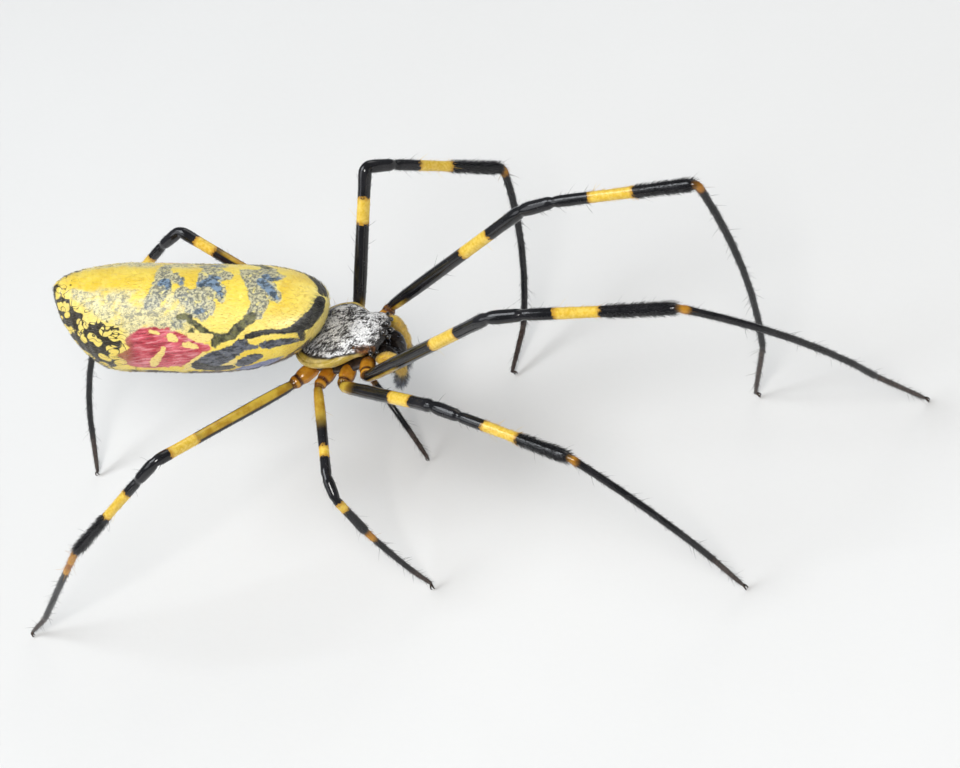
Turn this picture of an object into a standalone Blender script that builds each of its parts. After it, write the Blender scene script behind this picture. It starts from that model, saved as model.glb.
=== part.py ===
# Golden silk orb weaver, adult female: the solids of a still, life-size model standing on its feet.
# Blender 4.5 script, metres, +Z up, head toward +X, the spider's right side toward -Y.
import math

import bmesh
import bpy
from mathutils import Matrix, Vector

MM = 0.001

# Driving sizes, in millimetres and degrees
BODY_HEIGHT = 13.9          # middle of the carapace above the floor
HEAD_PITCH = -1.0           # head end up is positive
HEAD_ROLL = 1.0             # left side up is positive
SHIELD_YAW = -5.5           # the carapace, its eyes and the jaws point a little to the right
ABDOMEN_PITCH = -10.3       # the tail end is carried a little higher than the front
ABDOMEN_FRONT = (0.35, 0.0, 1.62)      # front of the abdomen's axis, from the middle of the carapace
ABDOMEN_LENGTH = 18.7
ABDOMEN_HALF_WIDTH = 3.61
BACK_HEIGHT = 3.0
BELLY_DEPTH = 3.95
FRONT_RISE = 1.4            # the front bulges over the carapace
TAIL_RISE = 2.2             # the tail ends above the middle of the barrel
CARAPACE_LENGTH = 6.7
CARAPACE_MIDDLE = 0.2
CARAPACE_HALF_WIDTH = 2.55
HEAD_HALF_WIDTH = 1.55
MARGIN_DROP = 0.62          # lower edge of the carapace below its middle
THORAX_RISE = 0.6
HEAD_RISE = 0.85
REAR_DROP = 0.4             # the carapace slopes down to the waist
NECK_PLACE = 0.22           # share of the carapace's length where the head starts to widen
NECK_LENGTH = 0.30
# Roundings of each outline: share rounded off in front, share behind, then the two powers
ABDOMEN_SIDES = (0.29, 0.25, 1.9, 1.8)
ABDOMEN_BACK = (0.60, 0.15, 1.9, 2.7)
ABDOMEN_BELLY = (0.53, 0.175, 1.9, 1.7)
CARAPACE_SIDES = (0.10, 0.42, 2.0, 2.1)
CARAPACE_CREST = (0.14, 0.62, 2.0, 1.5)
TAIL_RISE_PACE = 1.5        # the rise toward the tail is done this many times sooner than its end
STERNUM_SIZE = (3.3, 2.1, 0.6)
STERNUM_CENTRE = (0.1, 0.0, -1.8)
STERNUM_NARROWING = 0.25    # half of the width lost from the front end to the rear end
WAIST_START = (-3.15, 0.0, -0.95)
WAIST_END = (-3.8, 0.0, -0.80)
WAIST_RADIUS = 0.33
JOINT_GAP = 0.12            # free space left at each leg joint, before the bend's own allowance
FOOT_DROP = 0.4             # the last upright bit of a foot
FOOT_RADIUS = 0.25
SWING_LIMIT = math.radians(14.0)
TUBE_SIDES = 2              # bevel_resolution: 8 sides round
BOW_STEPS = 6               # straight bits of a bowed metatarsus
SETTLE_STEPS = 40           # halvings of the swing that brings a foot to the floor
JOINT_SHARE = 0.66          # a femur's and a patella's radius at a joint, as a share of the thickest
ANKLE_SHARE = 0.8           # the same for the metatarsus

# Leg pairs 1 to 4 from the front: lengths of femur, patella, tibia, metatarsus and tarsus
LEG_LENGTHS = {
    1: (15.2, 2.4, 9.8, 16.6, 5.6),
    2: (9.8, 2.2, 8.9, 11.6, 3.4),
    3: (6.7, 1.6, 3.2, 5.3, 1.9),
    4: (11.0, 2.1, 8.5, 11.4, 2.7),
}
# Middle of each coxa's root at the sternum, left side
COXA_ROOTS = {1: (1.85, 1.25, -1.45), 2: (0.65, 1.5, -1.5), 3: (-0.6, 1.5, -1.5), 4: (-1.85, 1.25, -1.45)}
# Joint where each femur starts, with Y measured toward the leg's own side
HIPS = {
    "right_1": (2.5, 3.2, -0.9),
    "right_2": (0.5, 3.25, -1.5),
    "right_3": (-1.1, 3.4, -1.2),
    "right_4": (-3.1, 3.0, -1.2),
    "left_1": (2.6, 2.8, -1.0),
    "left_2": (0.15, 2.7, -1.25),
    "left_3": (-1.15, 3.2, -1.2),
    "left_4": (-2.9, 3.0, -1.2),
}
# Thickest radii of femur, patella, tibia, tibia's bristled end, metatarsus and tarsus
LEG_RADII = {
    1: (0.47, 0.47, 0.38, 0.58, 0.27, 0.26),
    2: (0.46, 0.46, 0.37, 0.56, 0.27, 0.26),
    3: (0.37, 0.38, 0.32, 0.34, 0.26, 0.26),
    4: (0.42, 0.42, 0.34, 0.47, 0.27, 0.26),
}
# A coxa's knots, as shares of its length, and its radii at all but the last
COXA_SHARES = (0.0, 0.15, 0.5, 0.7, 0.85, 1.0)
COXA_RADII = (0.36, 0.52, 0.56, 0.46, 0.46)
# Each leg's pose: heading from straight ahead toward its own side, lean of the leg's plane, then the
# slopes above the horizon of femur, patella, tibia, metatarsus at its start and end, and tarsus
LEG_POSES = {
    "right_1": (0.5, -22.5, 32.5, -2, -9, -50.5, -83.5, -79),
    "right_2": (24.5, -10.5, 12, -6, -5.5, -48.5, -74.5, -84.5),
    "right_3": (77.5, -12.5, -13.5, -42.5, -84.5, -90.5, -98, -96),
    "right_4": (137.5, 37, 24.5, -44.5, -45.5, -66.5, -68, -64),
    "left_1": (-0.5, -4.5, 31, 11, 0.5, -88, -108.5, -115.5),
    "left_2": (57, 4.5, 53, -40, -45.5, -102, -128, -135.5),
    "left_3": (137.5, -4.5, -37.5, -116, -145.5, -144, -123, -119),
    "left_4": (169.5, -21, 31, -32, -39, -49.5, -82.5, -83),
}
# Eyes, left of each pair: place in the head's frame and radius
EYES = {
    "eye_front_median": ((3.75, 0.28, -0.07), 0.18),
    "eye_rear_median": ((3.72, 0.36, 0.43), 0.22),
    "eye_front_lateral": ((3.25, 1.39, -0.33), 0.14),
    "eye_rear_lateral": ((2.97, 1.69, -0.15), 0.14),
}
# Chelicera, left side: root, middle and tip of its stout base, and the folded fang
CHELICERA_PATH = ((3.15, 0.62, -0.80), (3.30, 0.64, -1.50), (3.15, 0.60, -2.50), (2.95, 0.52, -3.05))
CHELICERA_RADII = (0.42, 0.55, 0.50, 0.30)
# Palps, from the root round the bend to the tip
PALP_PATHS = {
    "left": ((2.72, 1.25, -1.40), (3.05, 1.55, -1.00), (3.22, 1.60, -1.60), (3.20, 1.56, -2.30),
             (2.98, 1.45, -3.40), (2.30, 1.15, -5.10)),
    "right": ((2.80, -1.60, -1.08), (3.32, -1.83, -0.82), (3.90, -1.90, -0.70), (4.22, -1.88, -1.25),
              (3.98, -1.75, -2.30), (3.22, -1.48, -3.70)),
}
PALP_RADII = (0.20, 0.31, 0.33, 0.32, 0.36, 0.26)
MOUTH_SIZE = (1.1, 1.5, 0.55)
MOUTH_CENTRE = (2.25, 0.0, -2.0)
SPINNERET_SHARE = 0.84      # how far along the abdomen the spinnerets are
SPINNERET_RADIUS = 0.72
SPINNERET_LENGTH = 2.1
SPINNERET_GAP = 0.2
SPINNERET_DIRECTION = (-0.45, 0.0, -0.89)      # back and down, in the world's axes
# Material looks: colour, roughness
LOOKS = {
    "yellow": ((0.72, 0.50, 0.06), 0.45),
    "silver": ((0.42, 0.41, 0.37), 0.6),
    "black": ((0.012, 0.011, 0.012), 0.3),
    "orange": ((0.62, 0.26, 0.04), 0.4),
    "brown": ((0.16, 0.07, 0.03), 0.45),
    "eye": ((0.004, 0.004, 0.005), 0.08),
}


def clear_scene():
    """Removes what the startup file brings."""
    for item in list(bpy.data.objects):
        bpy.data.objects.remove(item, do_unlink=True)


def material(name):
    """One Principled BSDF material for each named look."""
    found = bpy.data.materials.get(name)
    if found:
        return found
    colour, roughness = LOOKS[name]
    made = bpy.data.materials.new(name)
    made.use_nodes = True
    shader = made.node_tree.nodes["Principled BSDF"]
    shader.inputs["Base Color"].default_value = (*colour, 1.0)
    shader.inputs["Roughness"].default_value = roughness
    shader.inputs["Metallic"].default_value = 0.0
    return made


def head_frame():
    """Matrix of the head end's frame: its origin is the middle of the carapace."""
    place = Matrix.Translation((0.0, 0.0, BODY_HEIGHT))
    pitch = Matrix.Rotation(math.radians(-HEAD_PITCH), 4, "Y")
    roll = Matrix.Rotation(math.radians(HEAD_ROLL), 4, "X")
    return place @ pitch @ roll


def shield_frame():
    """Matrix of the carapace, the eyes, the jaws and the mouthparts."""
    return head_frame() @ Matrix.Rotation(math.radians(SHIELD_YAW), 4, "Z")


def abdomen_frame():
    """Matrix of the abdomen's frame: origin at its foremost point, +X toward the head."""
    place = Matrix.Translation(ABDOMEN_FRONT)
    pitch = Matrix.Rotation(math.radians(-(ABDOMEN_PITCH - HEAD_PITCH)), 4, "Y")
    return head_frame() @ place @ pitch


def add_object(name, data, look, root):
    """Links an object, gives it its material and sets its parent. The data is in millimetres."""
    data.transform(Matrix.Scale(MM, 4))
    made = bpy.data.objects.new(name, data)
    bpy.context.scene.collection.objects.link(made)
    data.materials.append(material(look))
    made.parent = root
    return made


def shaped_ball(name, look, root, shape, frame, segments=24, rings=16):
    """A sphere whose points shape() moves; its poles lie along X."""
    mesh = bpy.data.meshes.new(name)
    work = bmesh.new()
    bmesh.ops.create_uvsphere(work, u_segments=segments, v_segments=rings, radius=1.0)
    turn = Matrix.Rotation(math.radians(90.0), 4, "Y")
    bmesh.ops.transform(work, matrix=turn, verts=work.verts)
    for vertex in work.verts:
        vertex.co = frame @ shape(vertex.co)
    bmesh.ops.recalc_face_normals(work, faces=work.faces)
    work.to_mesh(mesh)
    work.free()
    for face in mesh.polygons:
        face.use_smooth = True
    return add_object(name, mesh, look, root)


def tube(name, look, root, points, radii):
    """A round rod through the points, with a radius at each, as a bevelled poly curve."""
    curve = bpy.data.curves.new(name, "CURVE")
    curve.dimensions = "3D"
    curve.bevel_depth = 1.0
    curve.bevel_resolution = TUBE_SIDES
    curve.use_fill_caps = True
    spline = curve.splines.new("POLY")
    spline.points.add(len(points) - 1)
    for knot, point, radius in zip(spline.points, points, radii):
        knot.co = (*(point * MM), 1.0)
        knot.radius = radius * MM
    made = bpy.data.objects.new(name, curve)
    bpy.context.scene.collection.objects.link(made)
    curve.materials.append(material(look))
    made.parent = root
    return made


def smooth(value):
    """Eases from 0 to 1."""
    held = min(1.0, max(0.0, value))
    return held * held * (3.0 - 2.0 * held)


def rounded(place, front, rear, front_power, rear_power):
    """Envelope from 0 through 1 to 0 along a body, blunt in front and tapering behind."""
    if place < front:
        return (1.0 - (1.0 - place / front) ** front_power) ** (1.0 / front_power)
    if place > 1.0 - rear:
        return (1.0 - ((place - 1.0 + rear) / rear) ** rear_power) ** (1.0 / rear_power)
    return 1.0


def section_angle(ball_point):
    """Cosine toward the left and sine toward the top, round the X axis."""
    angle = math.atan2(ball_point.z, ball_point.y)
    return math.cos(angle), math.sin(angle)


def abdomen_shape(ball_point):
    """The long abdomen: a blunt front, an even barrel and a tail that rises past the spinnerets."""
    place = 0.5 * (1.0 - ball_point.x)
    across, up = section_angle(ball_point)
    width = ABDOMEN_HALF_WIDTH * rounded(place, *ABDOMEN_SIDES)
    ends = FRONT_RISE + (TAIL_RISE - FRONT_RISE) * smooth(TAIL_RISE_PACE * place)
    back = ends + (BACK_HEIGHT - ends) * rounded(place, *ABDOMEN_BACK)
    belly = ends - (BELLY_DEPTH + ends) * rounded(place, *ABDOMEN_BELLY)
    middle = 0.5 * (back + belly)
    return Vector((-ABDOMEN_LENGTH * place, width * across, middle + 0.5 * (back - belly) * up))


def carapace_shape(ball_point):
    """The shield over the head end: a raised head in front of a wider, lower thorax."""
    place = 0.5 * (1.0 - ball_point.x)
    across, up = section_angle(ball_point)
    head_share = 1.0 - smooth((place - NECK_PLACE) / NECK_LENGTH)
    half_width = CARAPACE_HALF_WIDTH + (HEAD_HALF_WIDTH - CARAPACE_HALF_WIDTH) * head_share
    ends = rounded(place, *CARAPACE_SIDES)
    rise = THORAX_RISE + (HEAD_RISE - THORAX_RISE) * head_share
    height = rise * rounded(place, *CARAPACE_CREST)
    if up < 0.0:
        height = MARGIN_DROP * ends
    along = CARAPACE_MIDDLE + CARAPACE_LENGTH * (0.5 - place)
    slope = REAR_DROP * smooth((place - 0.5) / 0.5)
    return Vector((along, half_width * ends * across, height * up - slope))


def sternum_shape(ball_point):
    """The shield between the coxae, narrower behind."""
    length, width, thickness = STERNUM_SIZE
    narrowing = 1.0 - STERNUM_NARROWING * (1.0 - ball_point.x)
    offset = Vector((ball_point.x * length, ball_point.y * narrowing * width, ball_point.z * thickness))
    return Vector(STERNUM_CENTRE) + 0.5 * offset


def mouth_shape(ball_point):
    """The lip and the palps' inner plates, in front of the sternum."""
    length, width, thickness = MOUTH_SIZE
    offset = Vector((ball_point.x * length, ball_point.y * width, ball_point.z * thickness))
    return Vector(MOUTH_CENTRE) + 0.5 * offset


def leg_directions(leg):
    """Level heading of a leg and the upward direction of its leaning plane."""
    side = -1.0 if leg.startswith("right") else 1.0
    heading, lean = (math.radians(value) for value in LEG_POSES[leg][:2])
    ahead = Vector((math.cos(heading), side * math.sin(heading), 0.0))
    sideways = Vector((0.0, 0.0, 1.0)).cross(ahead)
    upward = math.cos(lean) * Vector((0.0, 0.0, 1.0)) + math.sin(lean) * sideways
    return side, ahead, upward


def leg_joints(leg, swing):
    """Joint centres from the hip to the foot, with the bowed metatarsus as a list of its own."""
    side, ahead, upward = leg_directions(leg)
    pair = int(leg[-1])
    slopes = [math.radians(value) + swing for value in LEG_POSES[leg][2:]]
    femur, patella, tibia, bow_start, bow_end, tarsus = slopes
    lengths = LEG_LENGTHS[pair]
    hip = HIPS[leg]
    here = head_frame() @ Vector((hip[0], side * hip[1], hip[2]))
    joints = [here]
    for length, slope in zip(lengths[:3], (femur, patella, tibia)):
        here = here + length * (math.cos(slope) * ahead + math.sin(slope) * upward)
        joints.append(here)
    bow = [here]
    for step in range(BOW_STEPS):
        slope = bow_start + (bow_end - bow_start) * (step + 0.5) / BOW_STEPS
        here = here + lengths[3] / BOW_STEPS * (math.cos(slope) * ahead + math.sin(slope) * upward)
        bow.append(here)
    foot = here + lengths[4] * (math.cos(tarsus) * ahead + math.sin(tarsus) * upward)
    return joints, bow, foot


def settled_leg(leg):
    """The leg swung about its hip until its foot stands on the floor."""
    below, above = sorted((-SWING_LIMIT, SWING_LIMIT), key=lambda swing: leg_joints(leg, swing)[2].z)
    for _ in range(SETTLE_STEPS):
        middle = 0.5 * (below + above)
        if leg_joints(leg, middle)[2].z > 0.0:
            above = middle
        else:
            below = middle
    return leg_joints(leg, 0.5 * (below + above))


def trimmed(start, end, trim_start, trim_end):
    """The two ends of a limb segment, moved inward by their trims."""
    along = (end - start).normalized()
    return start + along * trim_start, end - along * trim_end


def joint_trim(before, joint, after, end_radius):
    """How far a segment stops short of a joint, so that the bent neighbours stay apart."""
    bend = (joint - before).angle(after - joint)
    return 0.5 * JOINT_GAP + end_radius * math.tan(0.5 * bend)


def limb_points(start, end, shares):
    """Points at the given shares of the way from start to end."""
    return [start.lerp(end, share) for share in shares]


def add_leg(leg, root):
    """Coxa, femur, patella, tibia, and metatarsus with its foot: five nodes."""
    pair = int(leg[-1])
    side = leg_directions(leg)[0]
    joints, bow, foot = settled_leg(leg)
    hip, knee, knee_end, ankle = joints
    femur_r, patella_r, tibia_r, brush_r, bow_r, tarsus_r = LEG_RADII[pair]
    root_place = COXA_ROOTS[pair]
    coxa_root = head_frame() @ Vector((root_place[0], side * root_place[1], root_place[2]))
    hip_r, knee_r, ankle_r = JOINT_SHARE * femur_r, JOINT_SHARE * patella_r, ANKLE_SHARE * bow_r

    hip_trim = joint_trim(coxa_root, hip, knee, hip_r)
    coxa_start, coxa_end = trimmed(coxa_root, hip, 0.0, hip_trim)
    tube(f"coxa_{leg}", "orange", root, limb_points(coxa_start, coxa_end, COXA_SHARES), (*COXA_RADII, hip_r))

    femur_start, femur_end = trimmed(hip, knee, hip_trim, joint_trim(hip, knee, knee_end, knee_r))
    femur_points = limb_points(femur_start, femur_end, (0.0, 0.03, 0.25, 0.6, 0.95, 1.0))
    femur_radii = (hip_r, 0.85 * femur_r, femur_r, 0.97 * femur_r, 0.95 * femur_r, knee_r)
    tube(f"femur_{leg}", "black", root, femur_points, femur_radii)

    knee_trims = (joint_trim(hip, knee, knee_end, knee_r), joint_trim(knee, knee_end, ankle, knee_r))
    patella_start, patella_end = trimmed(knee, knee_end, *knee_trims)
    patella_points = limb_points(patella_start, patella_end, (0.0, 0.15, 0.5, 0.85, 1.0))
    patella_radii = (knee_r, 0.92 * patella_r, patella_r, 0.92 * patella_r, knee_r)
    tube(f"patella_{leg}", "black", root, patella_points, patella_radii)

    ankle_trim = joint_trim(knee_end, ankle, bow[1], ankle_r)
    tibia_start, tibia_end = trimmed(knee_end, ankle, knee_trims[1], ankle_trim)
    tibia_points = limb_points(tibia_start, tibia_end, (0.0, 0.04, 0.45, 0.6, 0.9, 0.97, 1.0))
    tibia_radii = (knee_r, 0.95 * tibia_r, tibia_r, brush_r, brush_r, 1.2 * bow_r, ankle_r)
    tube(f"tibia_{leg}", "black", root, tibia_points, tibia_radii)

    add_shank_and_foot(leg, root, bow, foot, ankle_trim, (ankle_r, bow_r, tarsus_r))


def add_shank_and_foot(leg, root, bow, foot, ankle_trim, radii):
    """The bowed metatarsus and its tarsus, ending in a small flat on the floor."""
    ankle_r, bow_r, tarsus_r = radii
    start, _ = trimmed(bow[0], bow[1], ankle_trim, 0.0)
    collar = start.lerp(bow[1], 0.12)
    instep = Vector((foot.x, foot.y, FOOT_DROP))
    sole = Vector((foot.x, foot.y, 0.0))
    middle = bow[-1].lerp(instep, 0.5)
    points = [start, collar, *bow[1:], middle, instep, sole]
    shank = [1.05 * bow_r] + [bow_r] * (len(bow) - 2) + [tarsus_r]
    tube(f"metatarsus_{leg}", "black", root, points, [ankle_r, *shank, tarsus_r, tarsus_r, FOOT_RADIUS])


def add_head_parts(root):
    """Chelicerae, palps, mouthparts and the waist."""
    frame = head_frame()
    jaws = shield_frame()
    for side, sign in (("left", 1.0), ("right", -1.0)):
        path = [jaws @ Vector((x, sign * y, z)) for x, y, z in CHELICERA_PATH]
        tube(f"chelicera_{side}", "black", root, path, CHELICERA_RADII)
        palp = [frame @ Vector(point) for point in PALP_PATHS[side]]
        tube(f"palp_{side}", "orange", root, palp, PALP_RADII)
    shaped_ball("mouthparts", "brown", root, mouth_shape, jaws, segments=14, rings=8)
    waist = [frame @ Vector(point) for point in (WAIST_START, WAIST_END)]
    tube("pedicel", "brown", root, waist, (WAIST_RADIUS, WAIST_RADIUS))


def add_spinnerets(root):
    """The short cluster under the tail."""
    frame = abdomen_frame()
    underside = abdomen_shape(Vector((1.0 - 2.0 * SPINNERET_SHARE, 0.0, -1.0)))
    top = frame @ (underside - Vector((0.0, 0.0, SPINNERET_GAP)))
    tip = top + SPINNERET_LENGTH * Vector(SPINNERET_DIRECTION)
    middle = top.lerp(tip, 0.5)
    radii = (SPINNERET_RADIUS, 0.85 * SPINNERET_RADIUS, 0.45 * SPINNERET_RADIUS)
    tube("spinnerets", "brown", root, [top, middle, tip], radii)


def add_eyes(root):
    """Four pairs of round eyes, set just clear of the carapace."""
    frame = shield_frame()
    for name, (place, radius) in EYES.items():
        for side, sign in (("left", 1.0), ("right", -1.0)):
            centre = frame @ Vector((place[0], sign * place[1], place[2]))
            ball = Matrix.Translation(centre) @ Matrix.Scale(radius, 4)
            shaped_ball(f"{name}_{side}", "eye", root, Vector, ball, segments=12, rings=8)


def centre_over_origin(root):
    """Moves the spider so that the middle of its box stands over the origin."""
    bpy.context.view_layer.update()
    corners = [piece.matrix_world @ Vector(corner) for piece in root.children for corner in piece.bound_box]
    for axis in (0, 1):
        values = [corner[axis] for corner in corners]
        root.location[axis] = -0.5 * (min(values) + max(values))


def main():
    clear_scene()
    root = bpy.data.objects.new("spider", None)
    bpy.context.scene.collection.objects.link(root)
    shaped_ball("abdomen", "yellow", root, abdomen_shape, abdomen_frame(), segments=32, rings=28)
    shaped_ball("carapace", "silver", root, carapace_shape, shield_frame())
    shaped_ball("sternum", "brown", root, sternum_shape, head_frame(), segments=16, rings=10)
    for leg in LEG_POSES:
        add_leg(leg, root)
    add_head_parts(root)
    add_spinnerets(root)
    add_eyes(root)
    centre_over_origin(root)


main()
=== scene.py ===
# Looks of the golden silk orb weaver: skins, hairs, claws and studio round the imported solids.
# Sizes are millimetres in the spider's own frame, and become metres when a mesh is made.
import math

import bpy
import numpy as np
from mathutils import Matrix, Vector


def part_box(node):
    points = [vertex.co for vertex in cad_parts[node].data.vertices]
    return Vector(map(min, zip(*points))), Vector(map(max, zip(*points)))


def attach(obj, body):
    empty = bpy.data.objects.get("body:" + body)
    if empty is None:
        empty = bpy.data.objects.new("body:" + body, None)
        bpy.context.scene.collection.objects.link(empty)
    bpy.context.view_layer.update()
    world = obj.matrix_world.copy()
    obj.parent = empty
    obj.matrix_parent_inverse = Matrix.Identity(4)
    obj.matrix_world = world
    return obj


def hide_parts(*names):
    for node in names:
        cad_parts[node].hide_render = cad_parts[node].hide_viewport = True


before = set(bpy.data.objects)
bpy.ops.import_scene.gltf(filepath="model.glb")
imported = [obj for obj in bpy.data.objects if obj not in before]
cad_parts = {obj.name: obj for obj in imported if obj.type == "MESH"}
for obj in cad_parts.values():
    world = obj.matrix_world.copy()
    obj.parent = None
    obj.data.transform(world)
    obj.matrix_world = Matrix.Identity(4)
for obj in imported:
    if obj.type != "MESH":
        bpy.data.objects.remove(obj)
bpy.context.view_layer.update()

MM = 0.001

# Driving sizes of the solids, as in part.py
BODY_HEIGHT = 13.9
HEAD_PITCH = -1.0
HEAD_ROLL = 1.0
SHIELD_YAW = -5.5
ABDOMEN_PITCH = -10.3
ABDOMEN_FRONT = (0.35, 0.0, 1.62)
ABDOMEN_LENGTH = 18.7
ABDOMEN_HALF_WIDTH = 3.61
BACK_HEIGHT = 3.0
BELLY_DEPTH = 3.95
FRONT_RISE = 1.4
TAIL_RISE = 2.2
CARAPACE_LENGTH = 6.7
CARAPACE_MIDDLE = 0.2
CARAPACE_HALF_WIDTH = 2.55
HEAD_HALF_WIDTH = 1.55
MARGIN_DROP = 0.62
THORAX_RISE = 0.6
HEAD_RISE = 0.85
REAR_DROP = 0.4
NECK_PLACE = 0.22
NECK_LENGTH = 0.30
ABDOMEN_SIDES = (0.29, 0.25, 1.9, 1.8)
ABDOMEN_BACK = (0.60, 0.15, 1.9, 2.7)
ABDOMEN_BELLY = (0.53, 0.175, 1.9, 1.7)
CARAPACE_SIDES = (0.10, 0.42, 2.0, 2.1)
CARAPACE_CREST = (0.14, 0.62, 2.0, 1.5)
TAIL_RISE_PACE = 1.5
STERNUM_SIZE = (3.3, 2.1, 0.6)
STERNUM_CENTRE = (0.1, 0.0, -1.8)
WAIST_START = (-3.15, 0.0, -0.95)
WAIST_END = (-3.8, 0.0, -0.80)
WAIST_RADIUS = 0.33
SWING_LIMIT = math.radians(14.0)
LEG_LENGTHS = {
    1: (15.2, 2.4, 9.8, 16.6, 5.6),
    2: (9.8, 2.2, 8.9, 11.6, 3.4),
    3: (6.7, 1.6, 3.2, 5.3, 1.9),
    4: (11.0, 2.1, 8.5, 11.4, 2.7),
}
COXA_ROOTS = {1: (1.85, 1.25, -1.45), 2: (0.65, 1.5, -1.5), 3: (-0.6, 1.5, -1.5), 4: (-1.85, 1.25, -1.45)}
HIPS = {
    "right_1": (2.5, 3.2, -0.9),
    "right_2": (0.5, 3.25, -1.5),
    "right_3": (-1.1, 3.4, -1.2),
    "right_4": (-3.1, 3.0, -1.2),
    "left_1": (2.6, 2.8, -1.0),
    "left_2": (0.15, 2.7, -1.25),
    "left_3": (-1.15, 3.2, -1.2),
    "left_4": (-2.9, 3.0, -1.2),
}
LEG_POSES = {
    "right_1": (0.5, -22.5, 32.5, -2, -9, -50.5, -83.5, -79),
    "right_2": (24.5, -10.5, 12, -6, -5.5, -48.5, -74.5, -84.5),
    "right_3": (77.5, -12.5, -13.5, -42.5, -84.5, -90.5, -98, -96),
    "right_4": (137.5, 37, 24.5, -44.5, -45.5, -66.5, -68, -64),
    "left_1": (-0.5, -4.5, 31, 11, 0.5, -88, -108.5, -115.5),
    "left_2": (57, 4.5, 53, -40, -45.5, -102, -128, -135.5),
    "left_3": (137.5, -4.5, -37.5, -116, -145.5, -144, -123, -119),
    "left_4": (169.5, -21, 31, -32, -39, -49.5, -82.5, -83),
}
EYES = {
    "eye_front_median": ((3.75, 0.28, -0.07), 0.18),
    "eye_rear_median": ((3.72, 0.36, 0.43), 0.22),
    "eye_front_lateral": ((3.25, 1.39, -0.33), 0.14),
    "eye_rear_lateral": ((2.97, 1.69, -0.15), 0.14),
}
CHELICERA_PATH = ((3.15, 0.62, -0.80), (3.30, 0.64, -1.50), (3.15, 0.60, -2.50), (2.95, 0.52, -3.05))
PALP_PATHS = {
    "left": ((2.72, 1.25, -1.40), (3.05, 1.55, -1.00), (3.22, 1.60, -1.60), (3.20, 1.56, -2.30),
             (2.98, 1.45, -3.40), (2.30, 1.15, -5.10)),
    "right": ((2.80, -1.60, -1.08), (3.32, -1.83, -0.82), (3.90, -1.90, -0.70), (4.22, -1.88, -1.25),
              (3.98, -1.75, -2.30), (3.22, -1.48, -3.70)),
}
MOUTH_CENTRE = (2.25, 0.0, -2.0)
SPINNERET_SHARE = 0.84
SPINNERET_GAP = 0.2

# The photograph's camera, fitted to the leg joints
CAMERA_AZIMUTH = 38.2       # degrees round from the spider's right side toward its face
CAMERA_ELEVATION = 39.2
CAMERA_ROLL = -32.7
CAMERA_DISTANCE = 276.0     # millimetres from the middle of the carapace
PIXELS_PER_MM = 15.65       # at that distance
IMAGE_SIZE = (960, 768)
CARAPACE_PIXEL = (338.5, 333.1)
SENSOR_WIDTH = 36.0         # millimetres

# Depth of the coat, by which each skin lies inside its solid
COAT_DEPTH = 0.05


def smooth(value):
    """Eases from 0 to 1."""
    held = np.clip(value, 0.0, 1.0)
    return held * held * (3.0 - 2.0 * held)


def bell(value, width):
    """A soft bump of height 1 at 0."""
    return np.exp(-(value / width) ** 2)


def rounded(place, front, rear, front_power, rear_power):
    """Envelope from 0 through 1 to 0 along a body, blunt in front and tapering behind."""
    nose = 1.0 - np.clip(1.0 - place / front, 0.0, 1.0) ** front_power
    tail = 1.0 - np.clip((place - 1.0 + rear) / rear, 0.0, 1.0) ** rear_power
    return nose ** (1.0 / front_power) * tail ** (1.0 / rear_power)


def unit(vectors):
    """Each row at length 1."""
    return vectors / np.maximum(np.linalg.norm(vectors, axis=-1, keepdims=True), 1e-12)


def turn(degrees, axis):
    """Rotation matrix about a named axis."""
    return np.array(Matrix.Rotation(math.radians(degrees), 3, axis))


HEAD_TURN = turn(-HEAD_PITCH, "Y") @ turn(HEAD_ROLL, "X")
SHIELD_TURN = turn(SHIELD_YAW, "Z")
ABDOMEN_TURN = turn(-(ABDOMEN_PITCH - HEAD_PITCH), "Y")


def from_head(points):
    """Places in the head's frame, in the spider's frame."""
    return np.asarray(points, float) @ HEAD_TURN.T + (0.0, 0.0, BODY_HEIGHT)


def from_shield(points):
    """Points of the carapace, the eyes and the jaws, in the spider's frame."""
    return from_head(np.asarray(points) @ SHIELD_TURN.T)


def from_abdomen(points):
    """Places in the abdomen's frame, in the spider's frame."""
    return from_head(np.asarray(points, float) @ ABDOMEN_TURN.T + ABDOMEN_FRONT)


def frame_shift():
    """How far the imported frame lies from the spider's own frame: part.py centres it over the floor."""
    low, high = (np.array(corner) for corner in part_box("eye_front_median_left"))
    return 0.5 * (low + high) / MM - from_shield(EYES["eye_front_median"][0])


SHIFT = frame_shift()


def metres(points):
    """Places in the spider's frame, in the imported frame."""
    return (np.asarray(points, float) + SHIFT) * MM


# Camera, lights and floor

def camera_axes():
    """The camera's backward, rightward and upward directions."""
    azimuth, elevation, roll = (math.radians(a) for a in (CAMERA_AZIMUTH, CAMERA_ELEVATION, CAMERA_ROLL))
    back = Vector((math.sin(azimuth) * math.cos(elevation), -math.cos(azimuth) * math.cos(elevation),
                   math.sin(elevation)))
    level = Vector((math.cos(azimuth), math.sin(azimuth), 0.0))
    above = back.cross(level)
    right = math.cos(roll) * level + math.sin(roll) * above
    return back, right, back.cross(right)


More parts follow.
